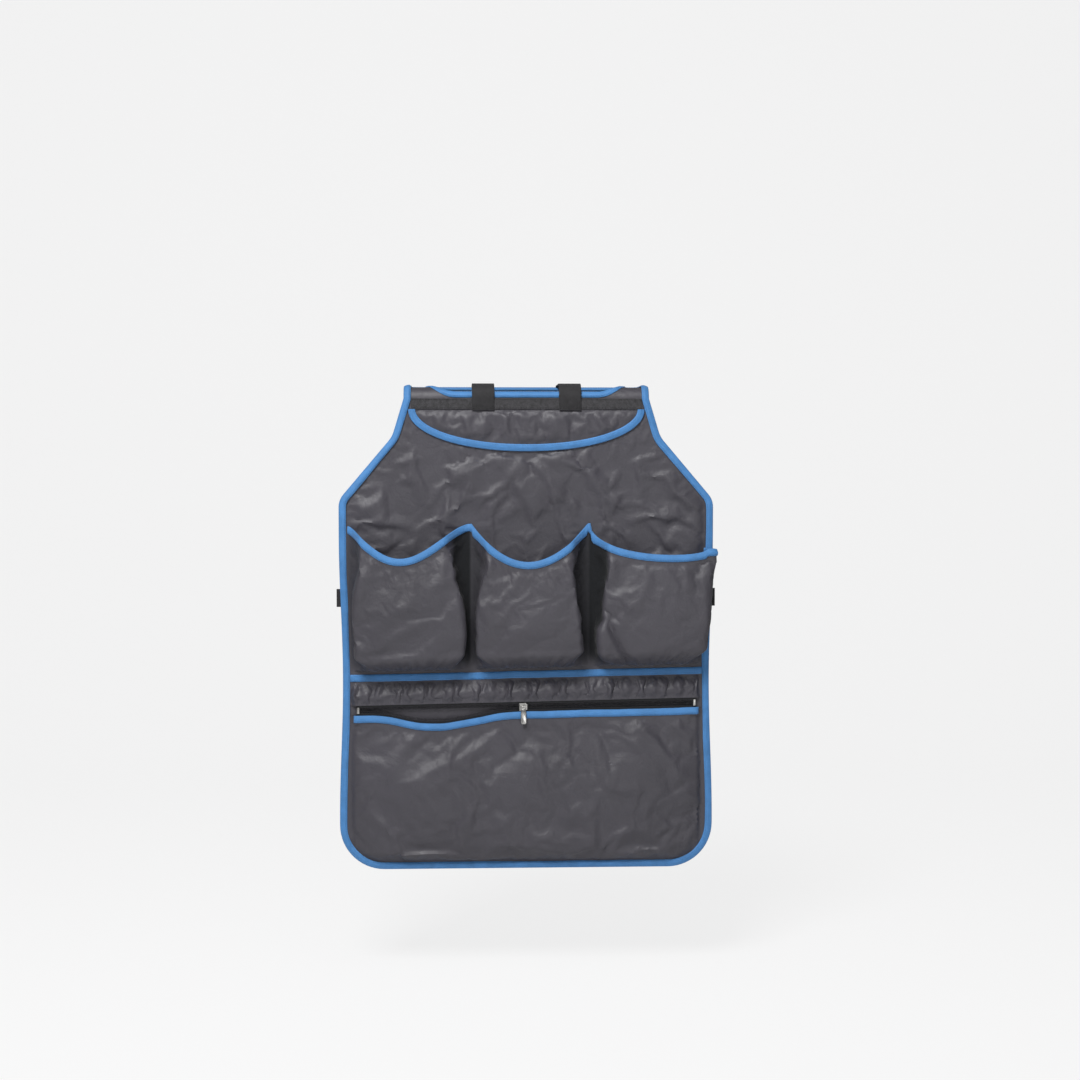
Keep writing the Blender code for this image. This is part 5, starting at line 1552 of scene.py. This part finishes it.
def makeStop(side):
    half, tall = zipper["stopLength"] / 2, zipper["stopHeight"] / 2
    post, thick = zipper["coilGap"] - gap, zipper["stopThickness"]
    slot = zipper["tape"] / 2 + zipper["tapePlay"]
    front, back = zipper["standOff"] + slot, zipper["standOff"] - slot
    boxes = [((-half, -tall, front), (half, tall, front + thick)),
             ((-half, -tall, back - thick), (half, tall, back)),
             ((-half, -post, back - 0.0004), (half, post, front + 0.0004))]
    name = sideName(side)
    made = bevelled(f"zipStop{name}", boxes, side * (coilHalf + gap + half), "organizer", 0.00025)
    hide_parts(f"zip_stop_{name.lower()}")
    return made


makeSlider()
makePull()
makeStop(-1)
makeStop(1)
print("slider, pull and stops ready")


# Large zipped pocket

largePocket = {"bulge": 0.0120, "rise": 0.0090, "topRun": 0.0850, "sideRun": 0.0900, "sideDrop": 0.0185,
               "edgeRun": 0.008, "mouthHold": 0.001, "mouthRun": 0.012}
panelFolds = [
    (-120, -372, -172, -440, 12, 2.1, 8), (-96, -372, -150, -420, 9, -1.6, 8),
    (-60, -374, -160, -450, 9, 2.1, 14), (-20, -372, -120, -430, 9, 1.6, 10),
    (12, -368, -44, -430, 9, -1.3, 8), (84, -366, 152, -444, 11, 2.4, 9),
    (104, -366, 176, -452, 8, 1.9, 12), (60, -368, 96, -430, 9, -1.4, 8), (140, -364, 186, -410, 8, 1.8, 8),
    (166, -420, 196, -470, 8, 1.8, -5), (-186, -400, -190, -470, 8, 1.4, 3),
    (-190, -470, -150, -500, 10, 1.6, 5), (-150, -516, -40, -522, 6, -3.0, 4),
    (-60, -512, 60, -522, 6, 2.8, 5), (40, -518, 150, -512, 6, -2.9, -5),
    (-170, -522, -70, -526, 4, 2.6, 2), (60, -524, 170, -520, 4, 2.6, 3), (-10, -500, 60, -514, 7, 1.9, 3),
    (-96, -500, -60, -524, 6, 1.6, 3), (-120, -480, -84, -518, 7, -1.3, 4), (30, -470, 84, -512, 9, 1.4, 8),
    (110, -480, 160, -512, 8, 1.4, -5), (-40, -470, -20, -512, 7, 1.3, 4),
    (150, -496, 190, -486, 8, 1.4, 3),
]


def panelEdge(x):
    z = seamZ(x, zipper["drop"]) - zipper["edgeDrop"] - nose - gap - zipper["sag"] * sagAt(x)
    return z, standOff(x, hem, edgeMid + zipper["bow"] * sagAt(x), z)


def panelSurface(x, z):
    top, edgeW = panelEdge(x)
    panelHem = zipper["panelHem"]
    under = top - binding - z
    side = halfWidthAt(z) - panelHem - np.abs(x)
    foot = z + bib["drop"] - panelHem
    cornerX, cornerZ = halfBody - bib["cornerRadius"], -bib["drop"] + bib["cornerRadius"]
    corner = (np.abs(x) > cornerX) & (z < cornerZ)
    away = bib["cornerRadius"] - panelHem - np.hypot(np.abs(x) - cornerX, z - cornerZ)
    near = np.maximum(0.0, np.where(corner, away, np.minimum(side, foot)))
    ease = 1 - np.exp(-near / largePocket["rise"])
    full = largePocket["bulge"] * smooth(under / largePocket["topRun"])
    full = full * np.sqrt(smooth(side / largePocket["sideRun"]))
    return hem + (edgeW - hem + full) * np.where(under > 0, ease, 1.0), near, under


def makeLargePocket():
    edge = inset(bibLine, nose + 2 * gap)
    sides = edge[edge[:, 1] < along(zipper["drop"]) - largePocket["sideDrop"]]
    start = int(np.argmax(np.where(sides[:, 0] < 0, sides[:, 1], -1)))
    sides = np.roll(sides, -start, 0)
    end = float(halfWidthAt(np.array(-zipper["drop"] - zipper["edgeDrop"])) - nose - 2 * gap)
    x = np.linspace(end, -end, 150)
    top = np.stack([x, panelEdge(x)[0] + foldRadius], -1)
    outline = spaced(np.concatenate([sides, top]), bib["facet"])
    flat, faces = cutCloth(outline)
    u, z = flat[:, 0], flat[:, 1] - foldRadius
    w, near, under = panelSurface(u, z)
    free = smooth(near / largePocket["edgeRun"])
    free = free * smooth((under - largePocket["mouthHold"]) / largePocket["mouthRun"])
    small = scatterFolds(lambda xx, zz: math.degrees(math.atan2(zz + 330, xx * 0.8)) if zz > -490 else 8,
                         **smallFolds["largePocket"])
    small += scatterFolds(lambda xx, zz: 75 - xx * 0.25, **smallFolds["largePocketFoot"])
    rise = foldHeight(u, z, panelFolds) + foldHeight(u, z, small)
    w = np.maximum(w + free * rise, hem)
    points = settle("largePocket", hang(u, z, w), faces, (1 - free) ** 2)
    points[:, 1] = np.minimum(points[:, 1], panelY - hem)
    made = clothObject("largePocketCloth", points, faces, flat, nylon)
    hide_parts("lower_panel")
    hemX = halfWidthAt(np.array(-zipper["drop"] - zipper["edgeDrop"])) - zipper["panelHem"]
    reach = float((zipHalf + hemX) / 2)
    x = np.linspace(-reach, reach, 180)
    z, middle = panelEdge(x)
    profile = foldedProfile(binding, -cloth / 2, cloth / 2)
    drift = wander(len(x), 8, 0.0006)
    sections = []
    for xx, zz, mm, stray in zip(x, z, middle, drift):
        sections.append(hang(xx, zz + nose + gap + stray - profile[:, 0], mm + profile[:, 1]))
    tapeEdge = sweepTape("largePocketBindingTape", sections, blueTape, False)
    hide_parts("lower_panel_binding")
    level = z + nose + gap + drift - binding + threadInset
    seam = hang(x, level, middle + cloth / 2 + gap + tape + threadStand)
    return made, tapeEdge, seam[2:-2]


largeCloth, largeTape, largeSeam = makeLargePocket()
print("large pocket ready")


# Webbing loops behind the side seams

loops = {
    "drop": 0.2345, "height": 0.0200, "length": 0.0240, "show": 0.0045, "webbing": 0.0008, "slit": 0.0006,
}


def makeSideLoop(side):
    outer = float(halfWidthAt(np.array(-loops["drop"]))) + loops["show"]
    front = -gap - tape - gap
    back = front - 2 * loops["webbing"] - loops["slit"]
    middle, radius, hollow = (front + back) / 2, (front - back) / 2, loops["slit"] / 2
    run = [(loops["length"], front)]
    for a in np.linspace(math.pi / 2, math.pi * 1.5, 13):
        run.append((radius + radius * math.cos(a), middle + radius * math.sin(a)))
    run += [(loops["length"], back), (loops["length"], middle - hollow)]
    for a in np.linspace(-math.pi / 2, -math.pi * 1.5, 9):
        run.append((radius + hollow * math.cos(a), middle + hollow * math.sin(a)))
    run.append((loops["length"], middle + hollow))
    run = np.array(run)
    zs = -loops["drop"] + np.linspace(-0.5, 0.5, 13) * loops["height"]
    sections = [hang(side * (outer - run[:, 0]), z, run[:, 1]) for z in zs]
    name = sideName(side)
    made = sweepTape(f"sideLoop{name}", sections, webbing, False)
    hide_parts(f"side_loop_{name.lower()}")
    return made


makeSideLoop(-1)
makeSideLoop(1)

rearEdge = lay(*(bibLine + inward(bibLine) * (binding - threadInset)).T, -gap - tape - 0.00012)
blueLines = [yokeSeam, *pocketSeams, *dividerSeams, largeSeam]
blackLines = [*loopSeams, *tabLeftSeams, *tabRightSeams, *rearSeams()]
runAlong("blueStitches", blueLines, stitchTree, stitches, blueThread)
runAlong("edgeStitches", [edgeSeam, slotSeam], stitchTree, stitches, blueThread, closed=True)
runAlong("rearStitches", [rearEdge], stitchTree, stitches, blueThread, closed=True)
runAlong("blackStitches", blackLines, stitchTree, stitches, blackThread)
print("stitches ready")
